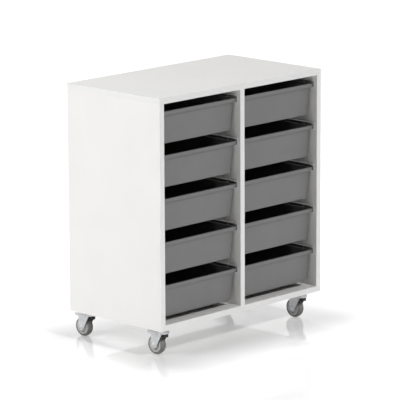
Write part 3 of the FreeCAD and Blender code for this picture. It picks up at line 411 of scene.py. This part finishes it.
def zinc_plate(colour):
    """Bright zinc on pressed steel: a pale blue-white metal, cloudy, with draw marks from
    the press tool."""
    material, tree, shader, place = start_material("zinc_plated_steel")
    cloud = grain(tree, place, 9 * MM, detail=3.0)
    tree.links.new(tinted(tree, cloud, colour, 0.88, 1.05), shader.inputs["Base Color"])
    drawn = grain(tree, place, 1.5 * MM, detail=2.0, stretch=(1.0, 0.25, 0.25))
    tree.links.new(between(tree, drawn, 0.5, 0.66), shader.inputs["Roughness"])
    relief(tree, shader, drawn, 0.2, 0.05 * MM)
    shader.inputs["Metallic"].default_value = 1.0
    return material


def bearing_steel(colour):
    """Hardened bearing steel, ground and tumbled: bright and smooth under a film of grease."""
    material, tree, shader, place = start_material("ground_bearing_steel")
    film = grain(tree, place, 4 * MM)
    tree.links.new(tinted(tree, film, colour, 0.85, 1.05), shader.inputs["Base Color"])
    tree.links.new(between(tree, film, 0.14, 0.3), shader.inputs["Roughness"])
    shader.inputs["Metallic"].default_value = 1.0
    return material


def tyre_rubber(colour):
    """Thermoplastic rubber, moulded on the wheel centre: dull and slightly dusty, with the
    fine grain of the mould."""
    material, tree, shader, place = start_material("thermoplastic_rubber")
    dust = grain(tree, place, 8 * MM, detail=4.0)
    tree.links.new(tinted(tree, dust, colour, 0.85, 1.25), shader.inputs["Base Color"])
    mould = grain(tree, place, 0.9 * MM, detail=2.0)
    tree.links.new(between(tree, mould, 0.62, 0.8), shader.inputs["Roughness"])
    relief(tree, shader, mould, 0.4, 0.06 * MM)
    shader.inputs["IOR"].default_value = 1.5
    return material


def wheel_polypropylene(colour):
    """Polypropylene wheel centre, moulded in a polished tool: even, with a soft shine."""
    material, tree, shader, place = start_material("polypropylene_polished")
    cloud = grain(tree, place, 10 * MM, detail=3.0)
    tree.links.new(tinted(tree, cloud, colour, 0.93, 1.04), shader.inputs["Base Color"])
    flow = grain(tree, place, 3 * MM, detail=2.0)
    tree.links.new(between(tree, flow, 0.42, 0.56), shader.inputs["Roughness"])
    relief(tree, shader, flow, 0.15, 0.05 * MM)
    shader.inputs["IOR"].default_value = 1.49
    return material


def pedal_nylon(colour):
    """Glass-filled black nylon, injection moulded: a dark skin with a dry, slightly streaked
    sheen."""
    material, tree, shader, place = start_material("glass_filled_nylon")
    fibre = grain(tree, place, 5 * MM, detail=4.0, stretch=(1.0, 0.5, 1.0))
    tree.links.new(tinted(tree, fibre, colour, 0.75, 1.5), shader.inputs["Base Color"])
    skin = grain(tree, place, 1.0 * MM, detail=2.0)
    tree.links.new(between(tree, skin, 0.4, 0.6), shader.inputs["Roughness"])
    relief(tree, shader, skin, 0.3, 0.05 * MM)
    shader.inputs["IOR"].default_value = 1.53
    return material


def dowel_beech(colour):
    """Beech, turned and left bare: warm, with short flecks along the grain."""
    material, tree, shader, place = start_material("turned_beech")
    fleck = grain(tree, place, 2 * MM, detail=3.0, stretch=(1.0, 1.0, 0.15))
    tree.links.new(tinted(tree, fleck, colour, 0.8, 1.1), shader.inputs["Base Color"])
    tree.links.new(between(tree, fleck, 0.55, 0.7), shader.inputs["Roughness"])
    relief(tree, shader, fleck, 0.3, 0.1 * MM)
    return material


FINISHES = {
    "melamine": melamine,
    "edging": edging_strip,
    "polypropylene": tray_polypropylene,
    "powder_coat": runner_powder_coat,
    "zinc": zinc_plate,
    "bearing": bearing_steel,
    "tyre": tyre_rubber,
    "wheel_centre": wheel_polypropylene,
    "pedal": pedal_nylon,
    "beech": dowel_beech,
}
made_finishes = {}


def finish(name):
    """The material of a finish, made when it is first asked for."""
    if name not in made_finishes:
        colours = bpy.context.scene.tray_unit_colours
        made_finishes[name] = FINISHES[name](tuple(getattr(colours, name)))
    return made_finishes[name]


def paint_node(node, material):
    """Gives an engineering node that stays its finish."""
    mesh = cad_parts[node].data
    mesh.materials.clear()
    mesh.materials.append(material)


# ------------------------------------------------------------------ node trees for shapes
def start_shape_tree(name, sockets):
    """A geometry tree with named inputs; each is (name, socket type, default)."""
    tree = bpy.data.node_groups.new(name, "GeometryNodeTree")
    tree.interface.new_socket(name="Geometry", in_out="INPUT", socket_type="NodeSocketGeometry")
    for label, kind, default in sockets:
        socket = tree.interface.new_socket(name=label, in_out="INPUT", socket_type=kind)
        if default is not None:
            socket.default_value = default
    tree.interface.new_socket(name="Geometry", in_out="OUTPUT", socket_type="NodeSocketGeometry")
    given = tree.nodes.new("NodeGroupInput").outputs
    return tree, given


def end_shape_tree(tree, geometry, material):
    realised = add_node(tree, "GeometryNodeRealizeInstances", {"Geometry": geometry})
    painted = add_node(
        tree, "GeometryNodeSetMaterial",
        {"Geometry": realised.outputs["Geometry"], "Material": material},
    )
    result = tree.nodes.new("NodeGroupOutput")
    tree.links.new(painted.outputs["Geometry"], result.inputs["Geometry"])
    return tree


def grow(name, mesh, tree, values):
    """Runs a tree on a mesh and returns the result as a plain mesh object."""
    seed = new_object(f"{name}_seed", mesh)
    modifier = seed.modifiers.new("shape", "NODES")
    modifier.node_group = tree
    for item in tree.interface.items_tree:
        if item.item_type == "SOCKET" and item.in_out == "INPUT" and item.name in values:
            modifier[item.identifier] = values[item.name]
    graph = bpy.context.evaluated_depsgraph_get()
    grown = bpy.data.meshes.new_from_object(seed.evaluated_get(graph))
    bpy.data.objects.remove(seed)
    grown.name = name
    return new_object(name, grown)


def compute(tree, operation, *values):
    """One sum of numbers or sockets."""
    inputs = dict(enumerate(values))
    return add_node(tree, "ShaderNodeMath", inputs, operation=operation).outputs[0]


def tray_tree():
    """Wraps a section line round a rounded rectangle.

    Each point of the line gives a step in from the widest outline (X) and a height (Z), with
    the corner radius there and a spread of 1, or 0 where the surface closes at its middle."""
    tree, given = start_shape_tree(
        "moulded_tray",
        [
            ("Width", "NodeSocketFloat", 0.315),
            ("Depth", "NodeSocketFloat", 0.354),
            ("Corner Steps", "NodeSocketInt", 8),
            ("Place", "NodeSocketVector", None),
            ("Material", "NodeSocketMaterial", None),
        ],
    )
    section = given["Geometry"]
    count = add_node(
        tree, "GeometryNodeAttributeDomainSize", {"Geometry": section}, component="MESH"
    ).outputs["Point Count"]
    per_corner = compute(tree, "ADD", given["Corner Steps"], 1.0)
    columns = compute(tree, "MULTIPLY_ADD", per_corner, 4.0, 1.0)
    grid = add_node(tree, "GeometryNodeMeshGrid", {"Vertices X": columns, "Vertices Y": count})
    index = add_node(tree, "GeometryNodeInputIndex").outputs[0]

    def split(number, size):
        """How many whole times a size goes into a whole number, and what is left over."""
        inside = compute(tree, "ADD", number, 0.5)
        times = compute(tree, "FLOOR", compute(tree, "DIVIDE", inside, size))
        return times, compute(tree, "SUBTRACT", number, compute(tree, "MULTIPLY", times, size))

    column, row = split(index, count)

    def at_row(kind, value):
        sample = add_node(
            tree, "GeometryNodeSampleIndex",
            {"Geometry": section, "Value": value, "Index": row}, data_type=kind, domain="POINT",
        )
        return sample.outputs[0]

    def named(label):
        attribute = add_node(
            tree, "GeometryNodeInputNamedAttribute", {"Name": label}, data_type="FLOAT"
        )
        return at_row("FLOAT", attribute.outputs["Attribute"])

    place = add_node(tree, "GeometryNodeInputPosition").outputs[0]
    point = add_node(tree, "ShaderNodeSeparateXYZ", {"Vector": at_row("FLOAT_VECTOR", place)})
    inset, height = point.outputs["X"], point.outputs["Z"]
    radius, spread = named("corner"), named("spread")
    turn, step = split(column, per_corner)
    quarter = compute(tree, "MULTIPLY", turn, math.pi / 2)
    swept = compute(tree, "MULTIPLY", step, math.pi / 2)
    sweep = compute(tree, "DIVIDE", swept, given["Corner Steps"])
    angle = compute(tree, "ADD", quarter, sweep)
    diagonal = compute(tree, "ADD", quarter, math.pi / 4)

    def along(function, size):
        side = compute(tree, "SIGN", compute(tree, function, diagonal))
        half = compute(tree, "MULTIPLY", size, 0.5)
        reach = compute(tree, "SUBTRACT", compute(tree, "SUBTRACT", half, inset), radius)
        arc = compute(tree, "MULTIPLY", compute(tree, function, angle), radius)
        return compute(tree, "MULTIPLY", compute(tree, "MULTIPLY_ADD", side, reach, arc), spread)

    where = add_node(
        tree, "ShaderNodeCombineXYZ",
        {"X": along("COSINE", given["Width"]), "Y": along("SINE", given["Depth"]), "Z": height},
    )
    placed = add_node(
        tree, "GeometryNodeSetPosition",
        {
            "Geometry": grid.outputs["Mesh"],
            "Position": where.outputs["Vector"],
            "Offset": given["Place"],
        },
    )
    closed = add_node(
        tree, "GeometryNodeMergeByDistance",
        {"Geometry": placed.outputs["Geometry"], "Distance": MELT_WELD},
    )
    return end_shape_tree(tree, closed.outputs["Geometry"], given["Material"])


def screw_tree():
    """Stands a cross-recessed pan-head screw on every point, turned by the point's attribute.

    The screw points along -Z with the underside of its head at the point."""
    tree, given = start_shape_tree(
        "pan_head_screws",
        [
            ("Head Diameter", "NodeSocketFloat", 0.0065),
            ("Head Height", "NodeSocketFloat", 0.0018),
            ("Shank Diameter", "NodeSocketFloat", 0.0035),
            ("Length", "NodeSocketFloat", 0.01),
            ("Material", "NodeSocketMaterial", None),
        ],
    )
    head_radius = compute(tree, "MULTIPLY", given["Head Diameter"], 0.5)
    shank_radius = compute(tree, "MULTIPLY", given["Shank Diameter"], 0.5)

    def piece(low, high, lower_radius, upper_radius):
        """A short cone between two heights."""
        cone = add_node(
            tree, "GeometryNodeMeshCone",
            {
                "Vertices": 20, "Radius Bottom": lower_radius, "Radius Top": upper_radius,
                "Depth": compute(tree, "SUBTRACT", high, low),
            },
        )
        lift = add_node(tree, "ShaderNodeCombineXYZ", {"Z": low})
        return add_node(
            tree, "GeometryNodeTransform",
            {"Geometry": cone.outputs["Mesh"], "Translation": lift.outputs["Vector"]},
        ).outputs["Geometry"]

    height = given["Head Height"]
    waist = compute(tree, "MULTIPLY", height, 0.45)
    shoulder = compute(tree, "MULTIPLY", height, 0.85)
    inner = compute(tree, "MULTIPLY", head_radius, 0.9)
    crown = compute(tree, "MULTIPLY", head_radius, 0.62)
    base = piece(0.0, waist, head_radius, head_radius)
    dome = piece(waist, shoulder, head_radius, inner)
    cap = piece(shoulder, height, inner, crown)
    whole = base
    for part in (dome, cap):
        joined = add_node(tree, "GeometryNodeMeshBoolean", {}, operation="UNION", solver="EXACT")
        tree.links.new(whole, joined.inputs["Mesh 2"])
        tree.links.new(part, joined.inputs["Mesh 2"])
        whole = joined.outputs["Mesh"]
    for long_x in (True, False):
        arm = compute(tree, "MULTIPLY", given["Head Diameter"], 0.56)
        slot = compute(tree, "MULTIPLY", given["Head Diameter"], 0.13)
        size = add_node(
            tree, "ShaderNodeCombineXYZ",
            {"X": arm if long_x else slot, "Y": slot if long_x else arm, "Z": height},
        )
        cutter = add_node(tree, "GeometryNodeMeshCube", {"Size": size.outputs["Vector"]})
        sunk = compute(tree, "MULTIPLY", height, 1.05)
        lift = add_node(tree, "ShaderNodeCombineXYZ", {"Z": sunk})
        moved = add_node(
            tree, "GeometryNodeTransform",
            {"Geometry": cutter.outputs["Mesh"], "Translation": lift.outputs["Vector"]},
        )
        cut = add_node(
            tree, "GeometryNodeMeshBoolean", {"Mesh 1": whole},
            operation="DIFFERENCE", solver="EXACT",
        )
        tree.links.new(moved.outputs["Geometry"], cut.inputs["Mesh 2"])
        whole = cut.outputs["Mesh"]
    tip_end = compute(tree, "MULTIPLY", given["Length"], -1.0)
    tip_start = compute(tree, "MULTIPLY_ADD", given["Shank Diameter"], 0.8, tip_end)
    shank = piece(tip_start, 0.0, shank_radius, shank_radius)
    tip = piece(tip_end, tip_start, 0.1 * MM, shank_radius)
    screw = add_node(tree, "GeometryNodeJoinGeometry")
    for part in (tip, shank, whole):
        tree.links.new(part, screw.inputs["Geometry"])
    turn = add_node(
        tree, "GeometryNodeInputNamedAttribute", {"Name": "turn"}, data_type="FLOAT_VECTOR"
    )
    rotation = add_node(
        tree, "FunctionNodeEulerToRotation", {"Euler": turn.outputs["Attribute"]}
    )
    stood = add_node(
        tree, "GeometryNodeInstanceOnPoints",
        {
            "Points": given["Geometry"], "Instance": screw.outputs["Geometry"],
            "Rotation": rotation.outputs["Rotation"],
        },
    )
    return end_shape_tree(tree, stood.outputs["Instances"], given["Material"])


# ------------------------------------------------------------------ section lines
def rounded_line(points):
    """A line of (across, up, rounding) points with its corners rounded by arcs."""
    line = []
    for i, (x, z, radius) in enumerate(points):
        if not radius or i in (0, len(points) - 1):
            line.append((x, z))
            continue
        corner = Vector((x, z))
        back = (Vector(points[i - 1][:2]) - corner).normalized()
        ahead = (Vector(points[i + 1][:2]) - corner).normalized()
        half = back.angle(ahead) / 2
        reach = radius / math.tan(half)
        centre = corner + (back + ahead).normalized() * radius / math.sin(half)
        start = corner + back * reach - centre
        end = corner + ahead * reach - centre
        full = start.angle_signed(end)
        for step in range(ARC_STEPS + 1):
            turned = start.copy()
            turned.rotate(Matrix.Rotation(-full * step / ARC_STEPS, 2))
            line.append(tuple(centre + turned))
    return line


def turned_piece(name, section, centre, steps, material):
    """Turns a closed section of (along X, radius) points about an X axis through a centre."""
    shell = bmesh.new()
    rings = []
    for along, radius in section:
        ring = []
        for step in range(steps):
            angle = 2 * math.pi * step / steps
            y = centre.y + radius * math.cos(angle)
            z = centre.z + radius * math.sin(angle)
            ring.append(shell.verts.new((centre.x + along, y, z)))
        rings.append(ring)
    for ring, following in zip(rings, rings[1:] + rings[:1]):
        for step in range(steps):
            after = (step + 1) % steps
            shell.faces.new((ring[step], following[step], following[after], ring[after]))
    bmesh.ops.recalc_face_normals(shell, faces=shell.faces)
    mesh = bpy.data.meshes.new(name)
    shell.to_mesh(mesh)
    shell.free()
    smooth(mesh, TURNED_CRISP_ABOVE)
    mesh.materials.append(material)
    return new_object(name, mesh)


# ------------------------------------------------------------------ operators
class TRAYUNIT_OT_boards(bpy.types.Operator):
    """Gives the boards their faces, and the dowels hidden in their joints their wood"""

    bl_idname = "tray_unit.boards"
    bl_label = "Boards"

    def execute(self, context):
        for node in PANELS:
            paint_node(node, finish("melamine"))
        paint_node("carcass_dowels", finish("beech"))
        return {"FINISHED"}


class TRAYUNIT_OT_edging(bpy.types.Operator):
    """Lays the edging strips, their outer arrises rounded"""

    bl_idname = "tray_unit.edging"
    bl_label = "Edging"

    def execute(self, context):
        arris = context.scene.tray_unit_sizes.board_arris
        for node in ("front_edging", "top_edging"):
            refined_node(
                node, f"{node}_strips", finish("edging"), "cabinet", arris, segments=3
            )
        return {"FINISHED"}


class TRAYUNIT_OT_runners(bpy.types.Operator):
    """Finishes the tray runners"""

    bl_idname = "tray_unit.runners"
    bl_label = "Runners"

    def execute(self, context):
        arris = context.scene.tray_unit_sizes.steel_arris
        for level in LEVELS:
            node = f"runners_{level}"
            refined_node(
                node, f"{node}_channels", finish("powder_coat"), "cabinet", arris
            )
        return {"FINISHED"}


class TRAYUNIT_OT_trays(bpy.types.Operator):
    """Moulds the trays, with a turned-down rim, a recessed floor and draft on every wall"""

    bl_idname = "tray_unit.trays"
    bl_label = "Trays"

    def corner_radius(self, sizes, inset, depth, slope):
        """Radius of a tray's upright corners a given step in and a depth below the rim."""
        over, wall = sizes.rim_overhang, sizes.tray_wall
        if inset < over:
            rim = sizes.rim_corner - min(inset, wall)
            beyond = max(inset - wall, 0.0) / (over - wall)
            return rim + beyond * (sizes.tray_corner - rim)
        inside = max(inset - over - slope * depth, 0.0)
        return max(sizes.tray_corner - inside, 1 * MM)

    def section(self, sizes, height):
        """Rows of (inset, height, corner radius, spread), from the floor's middle, up the
        inside, over the rim, down the outside and back to the middle."""
        wall, foot, edge = sizes.tray_wall, sizes.tray_foot, sizes.rim_edge
        over, draft = sizes.rim_overhang, sizes.tray_draft
        foot_inset = over + draft
        slope = draft / height
        body_top = height - wall
        rim_foot = height - sizes.rim_drop
        recess = foot_inset + RECESS_BORDER
        middle = recess + RECESS_FLAT
        outer = [
            (0.0, height, edge), (0.0, rim_foot, TIGHT),
            (wall, rim_foot, TIGHT), (wall, body_top, 1.5 * TIGHT),
            (over + slope * wall, body_top, 2 * TIGHT), (foot_inset, 0.0, foot),
            (recess, 0.0, 0.75 * TIGHT), (recess + RECESS_STEP, RECESS_DEPTH, 0.75 * TIGHT),
            (middle, RECESS_DEPTH, 0.0),
        ]
        inner = [
            (middle, wall, 0.0),
            (foot_inset + wall - slope * wall, wall, foot - wall),
            (over + wall, height, edge * 0.8),
        ]
        line = rounded_line(inner + outer)
        rows = [
            (inset, rise, self.corner_radius(sizes, inset, height - rise, slope), 1.0)
            for inset, rise in line
        ]
        first, last = rows[0], rows[-1]
        rows.insert(0, (first[0], first[1], first[2], 0.0))
        rows.append((last[0], last[1], last[2], 0.0))
        return rows

    def execute(self, context):
        sizes = context.scene.tray_unit_sizes
        tree = tray_tree()
        for level in LEVELS:
            node = f"tray_{level}"
            low, high, size = box_size(node)
            rows = self.section(sizes, size.z)
            line = bpy.data.meshes.new(f"{node}_section")
            line.from_pydata(
                [(inset, 0.0, rise) for inset, rise, _, _ in rows],
                [(i, i + 1) for i in range(len(rows) - 1)], [],
            )
            for label, column in (("corner", 2), ("spread", 3)):
                attribute = line.attributes.new(label, "FLOAT", "POINT")
                attribute.data.foreach_set("value", [row[column] for row in rows])
            middle = (low + high) / 2
            tray = grow(
                f"{node}_moulding", line, tree,
                {
                    "Width": size.x, "Depth": size.y, "Corner Steps": sizes.corner_steps,
                    "Place": (middle.x, middle.y, low.z), "Material": finish("polypropylene"),
                },
            )
            face_outwards(tray.data)
            smooth(tray.data, MOULDED_CRISP_ABOVE)
            finish_piece(tray, f"{node}_body", node)
        return {"FINISHED"}


class TRAYUNIT_OT_screws(bpy.types.Operator):
    """Drives the pan-head screws of the runners and the castor plates"""

    bl_idname = "tray_unit.screws"
    bl_label = "Screws"

    def drive(self, name, tree, points, turns, values, node):
        """One piece of screws that stand on points, each with its own turn."""
        seeds = bpy.data.meshes.new(f"{name}_points")
        seeds.from_pydata(points, [], [])
        attribute = seeds.attributes.new("turn", "FLOAT_VECTOR", "POINT")
        attribute.data.foreach_set("vector", [v for turn in turns for v in turn])
        screws = grow(name, seeds, tree, {**values, "Material": finish("zinc")})
        smooth(screws.data, MOULDED_CRISP_ABOVE)
        finish_piece(screws, "cabinet", node)

    def execute(self, context):
        tree = screw_tree()
        points, turns = [], []
        for level in LEVELS:
            low, high, _ = box_size(f"runners_{level}")
            for x, side in ((low.x, 1), (high.x, -1)):
                for y in (low.y + RUNNER_SCREW_INSET, high.y - RUNNER_SCREW_INSET):
                    points.append((x + side * RUNNER_STEEL, y, low.z + RUNNER_SCREW_RISE))
                    turns.append((0.0, side * math.pi / 2, 0.0))
        self.drive("runner_screw_set", tree, points, turns, RUNNER_SCREW, "runner_screws")
        points, turns = [], []
        for corner in CORNERS:
            low, high, _ = box_size(f"castor_plate_{corner}")
            for x in (low.x + PLATE_SCREW_INSET, high.x - PLATE_SCREW_INSET):
                for y in (low.y + PLATE_SCREW_INSET, high.y - PLATE_SCREW_INSET):
                    points.append((x, y, high.z - PLATE_STEEL))
                    turns.append((math.pi, 0.0, PLATE_SCREW_TURN))
        self.drive("castor_screw_set", tree, points, turns, PLATE_SCREW, "castor_screws")
        return {"FINISHED"}


class TRAYUNIT_OT_castors(bpy.types.Operator):
    """Finishes the plates, forks, axles and swivel bearings"""

    bl_idname = "tray_unit.castors"
    bl_label = "Castors"

    def execute(self, context):
        arris = context.scene.tray_unit_sizes.steel_arris
        for corner in CORNERS:
            fork_body = f"fork_{corner}_body"
            refined_node(
                f"castor_plate_{corner}", f"castor_plate_{corner}_pressing", finish("zinc"),
                "cabinet", arris,
            )
            refined_node(
                f"castor_fork_{corner}", f"castor_fork_{corner}_pressing", finish("zinc"),
                fork_body, arris,
            )
            refined_node(
                f"axle_{corner}", f"axle_{corner}_rivet", finish("zinc"),
                fork_body, arris,
            )
            refined_node(
                f"swivel_bearing_{corner}", f"swivel_bearing_{corner}_ground",
                finish("bearing"), "cabinet",
            )
        return {"FINISHED"}


class TRAYUNIT_OT_wheels(bpy.types.Operator):
    """Turns the wheel centres and their tyres"""

    bl_idname = "tray_unit.wheels"
    bl_label = "Wheels"

    def tread(self, width, radius):
        """Section of a tyre: its crown is an arc that drops to a chamfer at each side."""
        half = width / 2
        bore = radius - TYRE_DEPTH
        shoulder = radius - TREAD_CROWN
        side = shoulder - TYRE_ARRIS_DOWN
        section = [(-half, bore), (-half, side), (-half + TYRE_ARRIS_ACROSS, shoulder)]
        bulge = (half * half + TREAD_CROWN ** 2) / (2 * TREAD_CROWN)
        for step in range(1, TREAD_STEPS):
            along = -half + width * step / TREAD_STEPS
            drop = bulge - math.sqrt(bulge * bulge - along * along)
            section.append((along, radius - drop))
        return section + [(half - TYRE_ARRIS_ACROSS, shoulder), (half, side), (half, bore)]

    def execute(self, context):
        sizes = context.scene.tray_unit_sizes
        for corner in CORNERS:
            low, high, size = box_size(f"tyre_{corner}")
            tyre = turned_piece(
                f"tyre_{corner}_moulding", self.tread(size.x, size.z / 2),
                (low + high) / 2, sizes.wheel_steps, finish("tyre"),
            )
            body = f"wheel_{corner}_body"
            finish_piece(tyre, body, f"tyre_{corner}")
            refined_node(
                f"wheel_centre_{corner}", f"wheel_centre_{corner}_moulding",
                finish("wheel_centre"), body, WHEEL_ARRIS,
            )
        return {"FINISHED"}


class TRAYUNIT_OT_pedals(bpy.types.Operator):
    """Finishes the brake pedals"""

    bl_idname = "tray_unit.pedals"
    bl_label = "Brake Pedals"

    def execute(self, context):
        for corner in CORNERS:
            refined_node(
                f"brake_pedal_{corner}", f"brake_pedal_{corner}_moulding", finish("pedal"),
                f"pedal_{corner}_body", PEDAL_ARRIS,
            )
        return {"FINISHED"}


class TRAYUNIT_OT_stage(bpy.types.Operator):
    """Sets the floor, the lamps, the surroundings and the camera"""

    bl_idname = "tray_unit.stage"
    bl_label = "Stage"

    def seen_directly(self, tree):
        """1 where a camera, glossy or transmission ray looks, 0 where light is gathered."""
        seen = add_node(tree, "ShaderNodeLightPath").outputs
        mirrored = compute(tree, "MAXIMUM", seen["Is Glossy Ray"], seen["Is Transmission Ray"])
        return compute(tree, "MAXIMUM", seen["Is Camera Ray"], mirrored)

    def beyond_footprint(self, tree, place):
        """How far a point of the floor lies outside the cabinet's plan, across and along."""
        _, _, size = box_size("base_panel")
        folded = add_node(tree, "ShaderNodeVectorMath", {0: place}, operation="ABSOLUTE")
        past = add_node(
            tree, "ShaderNodeVectorMath",
            {0: folded.outputs[0], 1: (size.x / 2, size.y / 2, 0)}, operation="SUBTRACT",
        )
        outside = add_node(
            tree, "ShaderNodeVectorMath", {0: past.outputs[0], 1: (0, 0, 0)},
            operation="MAXIMUM",
        )
        return outside.outputs[0]

    def glowing(self, tree, surface, outside, end, near, far):
        """A surface with light of its own that changes over a distance from the footprint."""
        distance = add_node(tree, "ShaderNodeVectorMath", {0: outside}, operation="LENGTH")
        fade = add_node(
            tree, "ShaderNodeMapRange",
            {
                "Value": distance.outputs["Value"], "From Min": 0.0, "From Max": end,
                "To Min": near, "To Max": far,
            },
            interpolation_type="SMOOTHSTEP",
        )
        light = add_node(
            tree, "ShaderNodeEmission", {"Color": WHITE, "Strength": fade.outputs["Result"]}
        )
        both = add_node(tree, "ShaderNodeAddShader", {0: surface, 1: light.outputs[0]})
        return both.outputs[0]

    def floor(self, colour):
        """Polished pale sheet that keeps the object's shadow and a faint reflection, with a
        painted shade round the object where it glows less, brightening to white away from the
        object. It throws light back as white paper does, and round the object some light comes up
        through it."""
        material, tree, shader, place = start_material("polished_floor")
        output = tree.nodes["Material Output"]
        shader.inputs["Base Color"].default_value = colour
        shader.inputs["Roughness"].default_value = FLOOR_ROUGHNESS
        shader.inputs["IOR"].default_value = FLOOR_IOR
        outside = self.beyond_footprint(tree, place)
        # Less glow near the footprint than in the open paints a shade on the floor round the
        # object.
        shown_with_painted_shade = self.glowing(
            tree, shader.outputs["BSDF"], outside, PAINTED_SHADE_END, FLOOR_GLOW_IN_PAINTED_SHADE, OPEN_GLOW
        )
        paper = add_node(tree, "ShaderNodeBsdfDiffuse", {"Color": FLOOR_BOUNCE})
        given = self.glowing(tree, paper.outputs[0], outside, TABLE_EDGE, 0.0, TABLE_LIGHT)
        both = add_node(
            tree, "ShaderNodeMixShader", {0: self.seen_directly(tree), 1: given, 2: shown_with_painted_shade}
        )
        tree.links.new(both.outputs[0], output.inputs["Surface"])
        mesh = bpy.data.meshes.new("studio_floor")
        reach = FLOOR_REACH
        mesh.from_pydata(
            [(-reach, -reach, 0), (reach, -reach, 0), (reach, reach, 0), (-reach, reach, 0)],
            [], [(0, 1, 2, 3)],
        )
        mesh.materials.append(material)
        new_object("studio_floor", mesh)

    def surroundings(self, context):
        """White where they are seen or mirrored, and dark to the light that is gathered."""
        world = bpy.data.worlds.new("studio")
        context.scene.world = world
        world.use_nodes = True
        tree = world.node_tree
        tree.nodes.clear()
        light = add_node(
            tree, "ShaderNodeBackground",
            {"Color": WHITE, "Strength": self.seen_directly(tree)},
        )
        output = add_node(tree, "ShaderNodeOutputWorld")
        tree.links.new(light.outputs[0], output.inputs["Surface"])

    def aim(self, name, light, direction):
        made = new_object(name, light)
        made.rotation_mode = "QUATERNION"
        made.rotation_quaternion = direction.to_track_quat("-Z", "Y")
        return made

    def sun(self, name, heading, height, strength):
        """Even light from far away; heading runs from the front towards the left, in degrees."""
        light = bpy.data.lights.new(name, "SUN")
        light.angle = math.radians(SUN_SPREAD)
        light.energy = strength
        turned, raised = math.radians(heading), math.radians(height)
        across = math.sin(turned) * math.cos(raised)
        along = math.cos(turned) * math.cos(raised)
        self.aim(name, light, Vector((across, along, -math.sin(raised))))

    def softbox(self, name, place, power):
        light = bpy.data.lights.new(name, "AREA")
        light.shape = "SQUARE"
        light.size = SOFTBOX_SIZE
        light.energy = power
        self.aim(name, light, LAMP_TARGET - Vector(place)).location = place

    def camera(self, context):
        data = bpy.data.cameras.new("studio_camera")
        data.sensor_width = CAMERA_SENSOR
        data.lens = CAMERA_LENS
        data.clip_start, data.clip_end = 0.5, 200.0
        made = new_object("studio_camera", data)
        back = CAMERA_RIGHT.cross(CAMERA_UP)
        turn = Matrix((CAMERA_RIGHT, CAMERA_UP, back)).transposed()
        made.rotation_mode = "QUATERNION"
        made.rotation_quaternion = turn.to_quaternion()
        made.location = CAMERA_PLACE
        context.scene.camera = made

    def execute(self, context):
        colours = context.scene.tray_unit_colours
        self.floor(tuple(colours.floor))
        self.surroundings(context)
        self.softbox("key_softbox", place=(-4.0, 0.85, 3.27), power=117)
        self.sun("front_light", heading=0, height=45, strength=1.56)
        self.sun("rear_light", heading=-160, height=20, strength=1.26)
        self.camera(context)
        context.scene.view_settings.view_transform = "Standard"
        return {"FINISHED"}


OPERATORS = (
    TRAYUNIT_OT_stage, TRAYUNIT_OT_boards, TRAYUNIT_OT_edging, TRAYUNIT_OT_runners,
    TRAYUNIT_OT_trays, TRAYUNIT_OT_screws, TRAYUNIT_OT_castors, TRAYUNIT_OT_wheels,
    TRAYUNIT_OT_pedals,
)


class TRAYUNIT_PT_panel(bpy.types.Panel):
    """Lists the pieces of the unit"""

    bl_label = "Tray Storage Unit"
    bl_idname = "TRAYUNIT_PT_panel"
    bl_space_type = "VIEW_3D"
    bl_region_type = "UI"
    bl_category = "Tray Unit"

    def draw(self, context):
        layout = self.layout
        for group in (context.scene.tray_unit_sizes, context.scene.tray_unit_colours):
            column = layout.column()
            for name in group.__annotations__:
                column.prop(group, name)
        for operator in OPERATORS:
            layout.operator(operator.bl_idname)


CLASSES = (TrayUnitSizes, TrayUnitColours, *OPERATORS, TRAYUNIT_PT_panel)


def register():
    for item in CLASSES:
        bpy.utils.register_class(item)
    bpy.types.Scene.tray_unit_sizes = PointerProperty(type=TrayUnitSizes)
    bpy.types.Scene.tray_unit_colours = PointerProperty(type=TrayUnitColours)


def unregister():
    del bpy.types.Scene.tray_unit_colours
    del bpy.types.Scene.tray_unit_sizes
    for item in reversed(CLASSES):
        bpy.utils.unregister_class(item)


def main():
    register()
    bpy.ops.tray_unit.stage()
    bpy.ops.tray_unit.boards()
    bpy.ops.tray_unit.edging()
    bpy.ops.tray_unit.runners()
    bpy.ops.tray_unit.trays()
    bpy.ops.tray_unit.screws()
    bpy.ops.tray_unit.castors()
    bpy.ops.tray_unit.wheels()
    bpy.ops.tray_unit.pedals()


if __name__ == "__main__":
    main()
